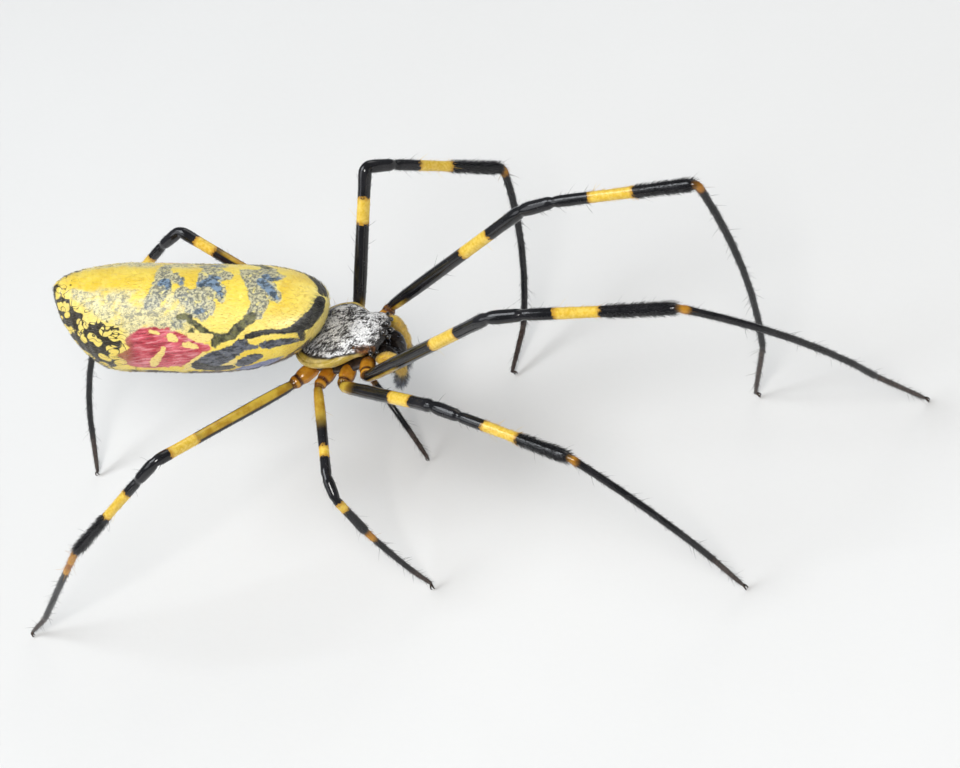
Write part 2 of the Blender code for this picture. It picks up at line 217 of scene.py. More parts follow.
def add_camera():
    """A long lens from the photograph's side, aimed so that the carapace falls on its own pixel."""
    back, right, above = camera_axes()
    middle = Vector((0.0, 0.0, BODY_HEIGHT))
    place = middle + CAMERA_DISTANCE * back
    aside = (IMAGE_SIZE[0] / 2.0 - CARAPACE_PIXEL[0]) / PIXELS_PER_MM
    below = (IMAGE_SIZE[1] / 2.0 - CARAPACE_PIXEL[1]) / PIXELS_PER_MM
    target = middle + aside * right - below * above
    sight = (place - target).normalized()
    upward = (above - above.dot(sight) * sight).normalized()
    axes = Matrix((upward.cross(sight), upward, sight)).transposed()
    data = bpy.data.cameras.new("camera")
    data.sensor_width = SENSOR_WIDTH
    data.lens = SENSOR_WIDTH * PIXELS_PER_MM * CAMERA_DISTANCE / IMAGE_SIZE[0]
    data.clip_start = 0.01
    camera = bpy.data.objects.new("camera", data)
    camera.matrix_world = Matrix.Translation(metres(place)) @ axes.to_4x4()
    bpy.context.scene.collection.objects.link(camera)
    bpy.context.scene.camera = camera


add_camera()

# Softboxes: where each stands from the model in metres, its width, its power in watts and its colour
SOFTBOXES = {
    "key": ((0.16, -0.26, 0.36), 0.14, 1.35, (1.0, 0.98, 0.96)),
    "top": ((-0.20, -0.05, 0.42), 0.24, 1.15, (0.92, 0.96, 1.0)),
    "fill": ((-0.34, -0.22, 0.26), 0.30, 0.55, (0.93, 0.96, 1.0)),
    "rim": ((0.10, 0.42, 0.30), 0.30, 0.45, (1.0, 0.98, 0.95)),
}
WORLD_COLOUR = (0.86, 0.92, 1.0)
WORLD_STRENGTH = 0.24
FLOOR_HALF_WIDTH = 0.9
FLOOR_DROP = 0.00002


def add_lights():
    """Plain soft studio light."""
    for name, (place, width, power, colour) in SOFTBOXES.items():
        data = bpy.data.lights.new(name, "AREA")
        data.size = width
        data.energy = power
        data.color = colour
        light = bpy.data.objects.new(name, data)
        light.location = place
        light.rotation_euler = Vector(place).to_track_quat("Z", "Y").to_euler()
        bpy.context.scene.collection.objects.link(light)
    world = bpy.data.worlds.new("studio")
    world.use_nodes = True
    sky = world.node_tree.nodes["Background"]
    sky.inputs["Color"].default_value = (*WORLD_COLOUR, 1.0)
    sky.inputs["Strength"].default_value = WORLD_STRENGTH
    bpy.context.scene.world = world
    bpy.context.scene.view_settings.view_transform = "Standard"


class Look:
    """Short ways to lay out the nodes of one material."""

    def __init__(self, name):
        self.material = bpy.data.materials.new(name)
        self.material.use_nodes = True
        self.tree = self.material.node_tree
        self.shader = self.tree.nodes["Principled BSDF"]
        self.place = self.vector("SCALE", self.add("ShaderNodeTexCoord").outputs["Object"], 1.0 / MM)

    def add(self, kind, **settings):
        """A node with its settings."""
        made = self.tree.nodes.new(kind)
        for key, value in settings.items():
            setattr(made, key, value)
        return made

    def put(self, socket, value):
        """Links a socket, or sets its value."""
        if isinstance(value, bpy.types.NodeSocket):
            self.tree.links.new(value, socket)
        elif isinstance(value, tuple) and socket.type == "RGBA":
            socket.default_value = (*value, 1.0)
        else:
            socket.default_value = value

    def vector(self, operation, first, second):
        """Vector maths; SCALE takes a number."""
        made = self.add("ShaderNodeVectorMath", operation=operation)
        self.put(made.inputs[0], first)
        self.put(made.inputs["Scale"] if operation == "SCALE" else made.inputs[1], second)
        return made.outputs["Vector"]

    def maths(self, operation, first, second=0.0, clamp=False):
        """Arithmetic on one or two values."""
        made = self.add("ShaderNodeMath", operation=operation, use_clamp=clamp)
        self.put(made.inputs[0], first)
        self.put(made.inputs[1], second)
        return made.outputs["Value"]

    def field(self, name):
        """A number that the mesh carries at each point."""
        return self.add("ShaderNodeAttribute", attribute_name=name).outputs["Fac"]

    def noise(self, scale, detail=3.0, stretch=(1.0, 1.0, 1.0), distortion=0.0, roughness=0.55):
        """Noise with this many waves a millimetre, stretched along the axes."""
        made = self.add("ShaderNodeTexNoise")
        spread = tuple(scale * value for value in stretch)
        self.put(made.inputs["Vector"], self.vector("MULTIPLY", self.place, spread))
        self.put(made.inputs["Scale"], 1.0)
        self.put(made.inputs["Detail"], detail)
        self.put(made.inputs["Roughness"], roughness)
        self.put(made.inputs["Distortion"], distortion)
        return made.outputs["Fac"]

    def cells(self, scale, feature="F1", stretch=(1.0, 1.0, 1.0), wander=0.0):
        """Distance to the nearest of this many cells a millimetre, whose outlines may wander."""
        made = self.add("ShaderNodeTexVoronoi", feature=feature)
        spread = tuple(scale * value for value in stretch)
        place = self.place
        if wander:
            shift = self.add("ShaderNodeTexNoise")
            self.put(shift.inputs["Vector"], self.place)
            self.put(shift.inputs["Scale"], scale)
            self.put(shift.inputs["Detail"], 1.0)
            moved = self.vector("SUBTRACT", shift.outputs["Color"], (0.5, 0.5, 0.5))
            place = self.vector("ADD", place, self.vector("SCALE", moved, wander * 2.0))
        self.put(made.inputs["Vector"], self.vector("MULTIPLY", place, spread))
        self.put(made.inputs["Scale"], 1.0)
        return made.outputs["Distance"]

    def ramp(self, value, low, high, start=0.0, end=1.0):
        """Eases from start to end as the value goes from low to high."""
        made = self.add("ShaderNodeMapRange", interpolation_type="SMOOTHSTEP")
        for name, number in (("From Min", low), ("From Max", high), ("To Min", start), ("To Max", end)):
            self.put(made.inputs[name], number)
        self.put(made.inputs["Value"], value)
        return made.outputs["Result"]

    def mask(self, name, soft=0.035, ragged=0.0, waves=3.0):
        """1 inside the marks whose distance in millimetres the mesh carries, with a ragged edge."""
        distance = self.field(name)
        if ragged:
            wander = self.maths("MULTIPLY", self.maths("SUBTRACT", self.noise(waves, 4.0), 0.5), ragged)
            distance = self.maths("ADD", distance, wander)
        return self.ramp(distance, -soft, soft, 1.0, 0.0)

    def mix(self, share, first, second):
        """Blends two colours."""
        made = self.add("ShaderNodeMix", data_type="RGBA")
        self.put(made.inputs["Factor"], share)
        self.put(made.inputs[6], first)
        self.put(made.inputs[7], second)
        return made.outputs[2]

    def all_of(self, *shares):
        """Product of shares."""
        product = shares[0]
        for share in shares[1:]:
            product = self.maths("MULTIPLY", product, share)
        return product

    def bump(self, *layers):
        """Raises the surface by layers of (height, millimetres)."""
        total = None
        for height, depth in layers:
            raised = self.maths("MULTIPLY", height, depth)
            total = raised if total is None else self.maths("ADD", total, raised)
        made = self.add("ShaderNodeBump")
        self.put(made.inputs["Distance"], MM)
        self.put(made.inputs["Height"], total)
        self.put(self.shader.inputs["Normal"], made.outputs["Normal"])

    def finish(self, colour, roughness, **sockets):
        """Sets the shader's colour, roughness and the sockets that are the same all over."""
        self.put(self.shader.inputs["Base Color"], colour)
        self.put(self.shader.inputs["Roughness"], roughness)
        for name, value in sockets.items():
            self.put(self.shader.inputs[name.replace("_", " ")], value)
        return self.material


def floor_look():
    """Pale matt board with a faint cloudiness."""
    look = Look("floor")
    cloud = look.noise(0.02, 4.0)
    grain = look.noise(2.0, 2.0)
    colour = look.mix(cloud, (0.70, 0.69, 0.67), (0.76, 0.755, 0.74))
    look.bump((grain, 0.01))
    return look.finish(colour, look.ramp(grain, 0.2, 0.8, 0.55, 0.7))


def add_floor():
    """The plain floor under the feet."""
    mesh = bpy.data.meshes.new("floor")
    corners = [(x * FLOOR_HALF_WIDTH, y * FLOOR_HALF_WIDTH, -FLOOR_DROP) for x, y in
               ((-1, -1), (1, -1), (1, 1), (-1, 1))]
    mesh.from_pydata(corners, [], [(0, 1, 2, 3)])
    mesh.materials.append(floor_look())
    floor = bpy.data.objects.new("floor", mesh)
    bpy.context.scene.collection.objects.link(floor)


# Meshes

def add_piece(name, points, faces, material, replaces=(), fields=None):
    """A smooth-shaded piece that rides on the body. Faces are arrays of vertex numbers."""
    mesh = bpy.data.meshes.new(name)
    mesh.vertices.add(len(points))
    mesh.vertices.foreach_set("co", metres(points).astype(np.float32).ravel())
    corners = np.concatenate([block.ravel() for block in faces]).astype(np.int32)
    sizes = np.concatenate([np.full(len(block), block.shape[1]) for block in faces])
    mesh.loops.add(len(corners))
    mesh.loops.foreach_set("vertex_index", corners)
    mesh.polygons.add(len(sizes))
    mesh.polygons.foreach_set("loop_start", (np.cumsum(sizes) - sizes).astype(np.int32))
    mesh.polygons.foreach_set("use_smooth", np.ones(len(sizes), bool))
    mesh.update(calc_edges=True)
    for key, values in (fields or {}).items():
        layer = mesh.attributes.new(key, "FLOAT", "POINT")
        layer.data.foreach_set("value", np.asarray(values, np.float32).ravel())
    mesh.materials.append(material)
    made = bpy.data.objects.new(name, mesh)
    bpy.context.scene.collection.objects.link(made)
    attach(made, "root")
    if replaces:
        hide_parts(*replaces)
    return made


def grid_faces(rings, around, first=0):
    """Quads between closed rings of points, with triangles to a pole at each end."""
    ring = np.arange(rings - 1)[:, None] * around + first
    here = np.arange(around)[None, :]
    there = (here + 1) % around
    quads = np.stack([ring + here, ring + there, ring + around + there, ring + around + here], -1)
    start, end = first + rings * around, first + rings * around + 1
    last = first + (rings - 1) * around
    here, there = here[0], there[0]
    front = np.stack([np.full(around, start), first + there, first + here], -1)
    rear = np.stack([np.full(around, end), last + here, last + there], -1)
    return [quads.reshape(-1, 4), np.concatenate([front, rear])]


def ball_grid(rings, around):
    """Places along, from front to tail, and angles round from the top, closer together at the ends."""
    place = 0.5 * (1.0 - np.cos(np.linspace(0.0, math.pi, rings + 2)[1:-1]))
    angle = np.linspace(0.0, 2.0 * math.pi, around, endpoint=False) - math.pi
    return np.meshgrid(place, angle, indexing="ij")


def shape_normals(shape, place, angle):
    """Outward directions of a closed shape given as shape(place, angle)."""
    step = 1e-3
    ahead = np.clip(place + step, 0.0, 1.0)
    behind = np.clip(place - step, 0.0, 1.0)
    along = shape(ahead, angle) - shape(behind, angle)
    around = shape(place, angle + step) - shape(place, angle - step)
    normal = unit(np.cross(around, along))
    outward = np.stack([np.zeros_like(angle), np.sin(angle), np.cos(angle)], -1)
    facing = np.sign((normal * outward).sum(-1, keepdims=True))
    return normal * np.where(facing == 0.0, 1.0, facing)


def shaped_piece(name, shape, relief, to_frame, rings, around, material, replaces, fields):
    """A closed skin from shape(place, angle), raised along its normals by relief(place, angle)."""
    place, angle = ball_grid(rings, around)
    body = shape(place, angle) + shape_normals(shape, place, angle) * relief(place, angle)[..., None]
    poles = np.stack([body[0].mean(0), body[-1].mean(0)])
    points = np.concatenate([body.reshape(-1, 3), poles])
    place = np.concatenate([place.ravel(), [0.0, 1.0]])
    angle = np.concatenate([angle.ravel(), [0.0, 0.0]])
    faces = grid_faces(rings, around)
    return add_piece(name, to_frame(points), faces, material, replaces, fields(place, angle))


# Hairs

PATCH = 0.0015              # half the width of a tuft's patch on the unwrap


def hair_piece(name, root, normal, lie, length, width, lift, curl, steps, unwrap, fields, material):
    """Many thin curved hairs as one closed mesh, each with its own patch of the unwrap at its root."""
    count = len(root)
    sideways = unit(np.cross(lie, normal))
    here = root - normal * width[:, None]
    rings = []
    for step in range(steps):
        share = step / steps
        slope = lift * (1.0 - curl * share)
        ahead = unit(lie * np.cos(slope)[:, None] + normal * np.sin(slope)[:, None])
        across = unit(np.cross(sideways, ahead))
        radius = (width * (1.0 - share) ** 0.6)[:, None]
        for corner in range(3):
            bearing = 2.0 * math.pi * corner / 3.0
            rings.append(here + radius * (math.cos(bearing) * sideways + math.sin(bearing) * across))
        here = here + ahead * (length / steps)[:, None]
    rings.append(here)
    points = np.stack(rings, 1)
    pattern = [(2, 1, 0)]
    for step in range(steps - 1):
        for corner in range(3):
            low, after = 3 * step + corner, 3 * step + (corner + 1) % 3
            pattern += [(low, after, after + 3), (low, after + 3, low + 3)]
    last = 3 * (steps - 1)
    pattern += [(last + corner, last + (corner + 1) % 3, last + 3) for corner in range(3)]
    pattern = np.array(pattern)
    each = points.shape[1]
    faces = (pattern[None] + each * np.arange(count)[:, None, None]).reshape(-1, 3)
    shares = np.concatenate([np.repeat(np.arange(steps) / steps, 3), [1.0]])
    values = {key: np.repeat(value, each) for key, value in fields.items()}
    values["tip"] = np.tile(shares, count)
    made = add_piece(name, points.reshape(-1, 3), [faces], material, (), values)
    bearing = np.tile(np.arange(3) * 2.0 * math.pi / 3.0, steps)
    reach = PATCH * (1.0 - 0.7 * shares)
    offset = np.zeros((each, 2))
    offset[:-1] = np.stack([np.cos(bearing), np.sin(bearing)], -1) * reach[:-1, None]
    spread = (unwrap[:, None] + offset[None]).reshape(-1, 2)
    layer = made.data.uv_layers.new(name="OFBake")
    layer.uv.foreach_set("vector", spread[faces.ravel()].astype(np.float32).ravel())
    return made


# The abdomen

ABDOMEN_RINGS = 420
ABDOMEN_AROUND = 400
# Small paired dimples on the back: place along, angle from the middle line in degrees
DIMPLES = ((0.15, 15), (0.29, 14), (0.43, 13), (0.57, 13), (0.70, 14))
DIMPLE_RADIUS = 0.22
DIMPLE_DEPTH = 0.07
FURROW_PLACE = 0.245        # the furrow across the belly, behind the book lungs
LUNG_PLACE = 0.14
LUNG_ANGLE = 140.0

# Marks of one flank, mirrored on the other: places along, angles from the middle line of the back in
# degrees, and half widths in millimetres
MARKS = {
    "ink": (
        ((0.013, -5, 0.24), (0.015, -38, 0.34), (0.031, -50, 0.34), (0.048, -58, 0.41),
         (0.066, -59, 0.34), (0.085, -60, 0.20), (0.106, -61, 0.11), (0.136, -59, 0.06),
         (0.166, -56, 0.06), (0.196, -56, 0.10), (0.221, -57, 0.13), (0.245, -58, 0.08)),
        ((0.073, -68, 0.12), (0.069, -82, 0.15), (0.071, -94, 0.11)),
        ((0.461, -100, 0.33), (0.438, -103, 0.41), (0.408, -106, 0.33), (0.369, -106, 0.25),
         (0.339, -103, 0.15)),
    ),
    "slate": (
        ((0.193, -74, 0.19), (0.173, -75, 0.26), (0.146, -76, 0.23), (0.123, -77, 0.19),
         (0.102, -82, 0.17), (0.085, -87, 0.10)),
        ((0.215, -74, 0.09), (0.253, -71, 0.19), (0.279, -72, 0.29), (0.311, -76, 0.41),
         (0.345, -81, 0.49), (0.382, -86, 0.58), (0.415, -93, 0.60), (0.444, -98, 0.51),
         (0.468, -103, 0.30)),
        ((0.296, -70, 0.21), (0.272, -65, 0.23), (0.253, -64, 0.14)),
        ((0.309, -101, 0.22), (0.282, -96, 0.40), (0.252, -92, 0.35), (0.225, -90, 0.23),
         (0.213, -90, 0.13)),
    ),
    "olive": (
        ((0.239, -36, 0.33), (0.259, -42, 0.26), (0.281, -48, 0.31), (0.299, -54, 0.27),
         (0.322, -57, 0.21), (0.344, -58, 0.21), (0.364, -61, 0.27), (0.376, -66, 0.16)),
        ((0.344, -57, 0.17), (0.372, -55, 0.17), (0.398, -53, 0.19), (0.419, -48, 0.18),
         (0.438, -44, 0.15), (0.456, -42, 0.12)),
        ((0.445, -51, 0.11), (0.454, -56, 0.12)),
        ((0.452, -38, 0.12), (0.471, -38, 0.15), (0.494, -39, 0.11)),
    ),
    "band": (
        ((0.296, 32, 0.42), (0.263, 16, 0.51), (0.242, 2, 0.42), (0.228, -11, 0.40),
         (0.212, -20, 0.36), (0.225, -29, 0.41)),
        ((0.258, 24, 0.61), (0.219, 19, 0.54), (0.191, 20, 0.37), (0.171, 24, 0.17)),
        ((0.229, 12, 0.36), (0.199, 2, 0.36), (0.175, -6, 0.26), (0.162, -11, 0.18)),
        ((0.440, 30, 0.26), (0.430, 12, 0.42), (0.419, -5, 0.50), (0.416, -18, 0.51),
         (0.401, -28, 0.46)),
        ((0.419, 19, 0.62), (0.382, 16, 0.48), (0.348, 15, 0.15)),
        ((0.392, 2, 0.35), (0.371, -6, 0.25), (0.349, -15, 0.11)),
        ((0.432, -31, 0.31), (0.459, -28, 0.17)),
        ((0.602, 25, 0.28), (0.588, 10, 0.44), (0.578, -4, 0.56), (0.584, -16, 0.52),
         (0.601, -24, 0.31)),
        ((0.554, 8, 0.34), (0.521, 2, 0.14)),
        ((0.456, -16, 0.45), (0.442, -24, 0.40), (0.404, -32, 0.38)),
        ((0.501, -12, 0.32), (0.470, -18, 0.36)),
        ((0.501, -46, 0.27), (0.482, -41, 0.13)),
    ),
    "blue": (
        ((0.228, 10, 0.26), (0.199, 2, 0.28), (0.175, -6, 0.20), (0.162, -11, 0.13)),
        ((0.222, 19, 0.20), (0.196, 14, 0.16), (0.175, 18, 0.13)),
        ((0.439, 1, 0.28), (0.416, 4, 0.35), (0.388, 1, 0.30), (0.366, -7, 0.16), (0.351, -14, 0.07)),
        ((0.411, 12, 0.17), (0.382, 10, 0.12)),
        ((0.585, -0, 0.22), (0.574, 2, 0.25), (0.556, -4, 0.15), (0.558, -10, 0.11)),
        ((0.515, 0, 0.10), (0.518, 6, 0.09)),
        ((0.428, -32, 0.18), (0.411, -30, 0.14)),
    ),
    "red": (
        ((0.681, -66, 0.37), (0.636, -61, 0.69), (0.585, -62, 0.80), (0.535, -65, 0.75),
         (0.485, -68, 0.61), (0.438, -70, 0.39), (0.401, -71, 0.20)),
        ((0.699, -90, 0.75), (0.644, -86, 1.19), (0.586, -84, 1.15), (0.534, -84, 1.04),
         (0.486, -85, 0.77), (0.449, -82, 0.54)),
    ),
    "drop": (
        ((0.529, -61, 0.33), (0.515, -63, 0.19)),
        ((0.485, -69, 0.17), (0.464, -69, 0.23), (0.441, -70, 0.14)),
        ((0.566, -74, 0.16), (0.585, -83, 0.21), (0.612, -92, 0.32), (0.625, -100, 0.21)),
        ((0.741, -93, 0.43), (0.731, -94, 0.28)),
        ((0.728, -76, 0.24), (0.711, -72, 0.25)),
        ((0.789, -108, 0.28), (0.769, -107, 0.33)),
        ((0.421, -79, 0.16), (0.458, -91, 0.30), (0.494, -103, 0.39)),
        ((0.489, -105, 0.18), (0.528, -112, 0.13)),
        ((0.458, -58, 0.21), (0.429, -60, 0.30), (0.395, -58, 0.28), (0.376, -56, 0.14)),
        ((0.605, -53, 0.14), (0.576, -56, 0.10)),
        ((0.381, -96, 0.38), (0.349, -95, 0.38), (0.319, -91, 0.32)),
        ((0.829, -122, 0.13), (0.788, -126, 0.15), (0.724, -121, 0.15), (0.656, -113, 0.15)),
    ),
    "violet": (
        ((0.150, -110, 0.12), (0.190, -112, 0.40), (0.246, -113, 0.46), (0.292, -113, 0.36),
         (0.332, -114, 0.18)),
    ),
    "gold": (
        ((0.492, 6, 0.61), (0.496, 3, 0.50)),
        ((0.669, 2, 0.59), (0.674, -2, 0.46)),
        ((0.845, -4, 0.67), (0.898, 1, 0.74), (0.941, -5, 0.45)),
        ((0.502, -20, 0.16), (0.512, -28, 0.22), (0.549, -36, 0.20)),
        ((0.349, 31, 0.70), (0.315, 1, 0.85), (0.306, -20, 0.78)),
        ((0.119, 40, 0.77), (0.091, 6, 1.15), (0.115, -25, 0.94), (0.169, -42, 0.39)),
        ((0.767, 23, 0.38), (0.835, 19, 0.51), (0.882, 12, 0.46)),
    ),
}
STROKE_STEPS = 5            # straight bits between two points of a mark
# Millimetres added to the half widths of each kind of mark
MARK_GROWTH = {"ink": 0.10, "slate": 0.05, "olive": 0.06, "band": 0.17, "blue": 0.05, "red": 0.05, "gold": -0.10}
# Marks that cross the back and are given on both sides of it, as far as the second angle in degrees
CROSSING = ("band", "blue", "gold")
CROSSING_ANGLE = 26.0
# Where the black network of the tail starts, by angle from the middle line
MAZE_ANGLES = (0, 14, 26, 31, 43, 47, 53, 67, 84, 110, 125, 180)
MAZE_PLACES = (0.945, 0.940, 0.915, 0.870, 0.795, 0.745, 0.705, 0.695, 0.705, 0.740, 0.75, 0.72)
BELLY_ANGLE = 115.0         # where the dark belly starts
BELLY_PACE = 0.065          # millimetres along the surface for each degree there
MIDDLE_LINE = 0.28          # the pattern's middle line lies this far to the left of the back's highest line


def abdomen_shape(place, angle):
    """The long abdomen: a blunt front, an even barrel and a tail that rises past the spinnerets."""
    width = ABDOMEN_HALF_WIDTH * rounded(place, *ABDOMEN_SIDES)
    ends = FRONT_RISE + (TAIL_RISE - FRONT_RISE) * smooth(TAIL_RISE_PACE * place)
    back = ends + (BACK_HEIGHT - ends) * rounded(place, *ABDOMEN_BACK)
    belly = ends - (BELLY_DEPTH + ends) * rounded(place, *ABDOMEN_BELLY)
    height = 0.5 * (back + belly) + 0.5 * (back - belly) * np.cos(angle)
    return np.stack([-ABDOMEN_LENGTH * place, width * np.sin(angle), height], -1)


def abdomen_relief(place, angle):
    """Dimples, tail creases, lung covers and the belly's furrow, over the coat's depth."""
    point = abdomen_shape(place, angle)
    mirrored = np.stack([point[..., 0], -np.abs(point[..., 1]), point[..., 2]], -1)
    height = np.full(place.shape, -COAT_DEPTH)
    for along, aside in DIMPLES:
        centre = abdomen_shape(np.array(along), np.array(-math.radians(aside)))
        height -= DIMPLE_DEPTH * bell(np.linalg.norm(mirrored - centre, axis=-1), DIMPLE_RADIUS)
    aside = np.abs(np.degrees(angle))
    tail = smooth((place - 0.70) / 0.2) * (1.0 - smooth((place - 0.97) / 0.03))
    height += 0.022 * tail * np.sin(2.0 * math.pi * place / 0.033 + 0.8 * np.cos(3.0 * angle))
    flank = smooth((aside - 55.0) / 25.0) * (1.0 - smooth((aside - 118.0) / 20.0)) * smooth((place - 0.3) / 0.2)
    height += 0.010 * flank * np.sin(math.radians(1.0) * aside * 95.0 + 3.0 * np.sin(21.0 * place))
    under = smooth((aside - 112.0) / 16.0)
    height -= 0.10 * under * bell(place - FURROW_PLACE, 0.009)
    height += 0.07 * bell(place - LUNG_PLACE, 0.05) * bell(aside - LUNG_ANGLE, 18.0)
    return height


def stroke_points(stroke, shape):
    """A mark's middle line on the surface, in short straight bits, with its half width."""
    knots = np.array(stroke, float)
    spread = np.linspace(0.0, len(knots) - 1.0, STROKE_STEPS * (len(knots) - 1) + 1)
    columns = [np.interp(spread, np.arange(len(knots)), knots[:, column]) for column in range(3)]
    softened = np.stack(columns, -1)
    softened[1:-1] = 0.25 * softened[:-2] + 0.5 * softened[1:-1] + 0.25 * softened[2:]
    return shape(softened[:, 0], np.radians(softened[:, 1])), softened[:, 2]


def mark_distance(points, strokes, shape):
    """Distance in millimetres from each point to the nearest mark, negative inside it."""
    nearest = np.full(len(points), 9.0)
    for stroke in strokes:
        line, radius = stroke_points(stroke, shape)
        for index in range(len(line) - 1):
            start, along = line[index], line[index + 1] - line[index]
            share = ((points - start) @ along / max(along @ along, 1e-9)).clip(0.0, 1.0)
            apart = np.linalg.norm(points - start - share[:, None] * along, axis=1)
            width = radius[index] + (radius[index + 1] - radius[index]) * share
            nearest = np.minimum(nearest, apart - width)
    return nearest


def warped(points):
    """The points moved a little to and fro, so that the two flanks aren't exact mirror images."""
    x, y, z = points.T
    moved = np.stack([np.sin(1.3 * y + 0.7 * z + 0.4 * x), 0.6 * np.sin(0.9 * x + 1.1), np.sin(1.1 * x - 0.8 * y)], -1)
    return points + 0.07 * moved


def abdomen_fields(place, angle):
    """The marks of the abdomen, as distances, the shares of its mottlings, and the shares of painted highlight round
    the front rim and along the upper flanks.
    """
    points = warped(abdomen_shape(place, angle))
    folded = points.copy()
    aside = np.abs(np.degrees(angle))
    middle = MIDDLE_LINE * (1.0 - smooth((aside - 20.0) / 40.0))
    folded[:, 1] = middle - np.abs(points[:, 1] - middle)
    values = {name: mark_distance(folded, strokes, abdomen_shape) for name, strokes in MARKS.items()}
    beyond = smooth((np.degrees(angle) - CROSSING_ANGLE) / 10.0)
    for name in CROSSING:
        values[name] = values[name] * beyond + mark_distance(points, MARKS[name], abdomen_shape) * (1.0 - beyond)
    for name, growth in MARK_GROWTH.items():
        values[name] -= growth
    values["maze"] = smooth((place - np.interp(aside, MAZE_ANGLES, MAZE_PLACES) + 0.09) / 0.22)
    values["pale"] = smooth((place - 0.40) / 0.12) * (1.0 - smooth((place - 0.90) / 0.08))
    start = np.where(angle > 0.0, 22.0, 4.0)
    values["pale"] *= smooth((aside - start) / 12.0) * (1.0 - smooth((aside - 60.0) / 16.0))
    values["under"] = np.maximum(BELLY_PACE * (BELLY_ANGLE - aside), ABDOMEN_LENGTH * (0.06 - place))
    # Painted highlight: shares of cream light round the front rim and along the upper flanks
    values["front"] = bell(place, 0.085)
    values["flank"] = bell(aside - 48.0, 24.0)
    return values


def abdomen_look(name, hairs=False):
    """Yellow ground, grey-blue bands, black and slate marks, a red flank and a black tail with drops."""
    look = Look(name)
    streak = look.noise(7.0, 3.0, (0.22, 1.0, 1.0))
    cloud = look.noise(0.55, 3.0)
    fine = look.noise(16.0, 2.0, (0.35, 1.0, 1.0))
    gold = look.mix(look.ramp(cloud, 0.35, 0.65), (0.80, 0.56, 0.036), (0.90, 0.70, 0.085))
    # Painted highlight: cream laid over the gold along the upper flanks, round the front rim and on fine streaks of
    # sheen
    painted_highlight_cream = (0.92, 0.80, 0.27)
    light = look.maths("ADD", look.maths("MULTIPLY", look.field("flank"), 0.42),
                       look.maths("MULTIPLY", look.ramp(streak, 0.45, 0.75), 0.30), clamp=True)
    light = look.maths("MAXIMUM", light, look.maths("MULTIPLY", look.field("front"), 0.75))
    ground = look.mix(light, gold, painted_highlight_cream)
    # Pale grey-white mottling between the bands
    pale = look.maths("MULTIPLY", look.field("pale"), look.ramp(look.noise(0.9, 4.0), 0.34, 0.52))
    clear = look.maths("SUBTRACT", 1.0, look.mask("gold", 0.16, 0.9, 2.2))
    pale = look.maths("MULTIPLY", pale, clear)
    ground = look.mix(look.maths("MULTIPLY", pale, 0.85), ground, (0.76, 0.70, 0.40))
    specks = look.ramp(look.noise(4.2, 4.0, (0.7, 1.0, 1.0), 0.5), 0.52, 0.60)
    lines = look.maths("ABSOLUTE", look.maths("SUBTRACT", look.noise(3.1, 3.0, distortion=0.7), 0.5))
    specks = look.maths("MAXIMUM", specks, look.ramp(lines, 0.010, 0.034, 0.9, 0.0))
    ground = look.mix(look.all_of(pale, specks, 0.80), ground, (0.235, 0.225, 0.18))
    # Grey-blue bands across the back
    mottle = look.noise(2.4, 5.0, (1.0, 1.0, 1.0), 0.8)
    band = look.mask("band", 0.05, 0.60, 2.4)
    grey = look.mix(look.ramp(look.noise(5.5, 4.0, distortion=0.4), 0.42, 0.58), (0.58, 0.55, 0.36), (0.15, 0.165, 0.165))
    grey = look.mix(look.ramp(look.noise(2.6, 3.0), 0.57, 0.66), grey, (0.74, 0.66, 0.26))
    ground = look.mix(look.maths("MULTIPLY", band, 0.92), ground, grey)
    blue = look.mix(look.ramp(mottle, 0.42, 0.60), (0.21, 0.30, 0.41), (0.050, 0.078, 0.105))
    ground = look.mix(look.mask("blue", 0.06, 0.45, 3.4), ground, blue)
    # Dark olive stripe, red flank with its drops, slate and black marks
    olive = look.mix(look.ramp(look.noise(2.2, 4.0), 0.40, 0.62), (0.035, 0.035, 0.018), (0.16, 0.155, 0.060))
    ground = look.mix(look.mask("olive", 0.06, 0.42, 4.0), ground, olive)
    wrinkle = look.noise(5.0, 3.0, (0.13, 1.0, 1.0), 0.5)
    red = look.mix(look.ramp(cloud, 0.40, 0.62), (0.50, 0.045, 0.065), (0.72, 0.13, 0.17))
    red = look.mix(look.ramp(wrinkle, 0.50, 0.64, 0.0, 0.55), red, (0.86, 0.42, 0.44))
    red = look.mix(look.ramp(wrinkle, 0.34, 0.48, 0.75, 0.0), red, (0.24, 0.018, 0.030))
    red = look.mix(look.ramp(look.field("maze"), 0.02, 0.45, 0.0, 0.65), red, (0.20, 0.020, 0.035))
    ground = look.mix(look.mask("red", 0.10, 0.70, 2.4), ground, red)
    ground = look.mix(look.mask("drop", 0.035, 0.22, 3.0), ground, (0.86, 0.68, 0.22))
    slate = look.mix(look.ramp(look.noise(4.0, 4.0, (0.5, 1.0, 1.0)), 0.40, 0.62), (0.030, 0.033, 0.042), (0.125, 0.135, 0.165))
    ground = look.mix(look.mask("slate", 0.045, 0.36, 4.5), ground, slate)
    violet = look.mix(look.ramp(fine, 0.4, 0.65), (0.13, 0.16, 0.34), (0.33, 0.36, 0.55))
    # The belly: dark brown with yellow drops
    spots = look.ramp(look.cells(1.05, "F1", (0.7, 1.0, 1.0)), 0.24, 0.34, 1.0, 0.0)
    belly = look.mix(look.ramp(cloud, 0.35, 0.65), (0.035, 0.022, 0.016), (0.12, 0.07, 0.05))
    belly = look.mix(spots, belly, (0.72, 0.50, 0.09))
    ground = look.mix(look.mask("under", 0.10, 1.1, 1.3), ground, belly)
    ground = look.mix(look.mask("violet", 0.06, 0.30, 2.5), ground, violet)
    ink = look.mix(look.ramp(look.noise(3.0, 4.0), 0.45, 0.68), (0.016, 0.015, 0.013), (0.060, 0.058, 0.042))
    ground = look.mix(look.mask("ink", 0.04, 0.24, 4.5), ground, ink)
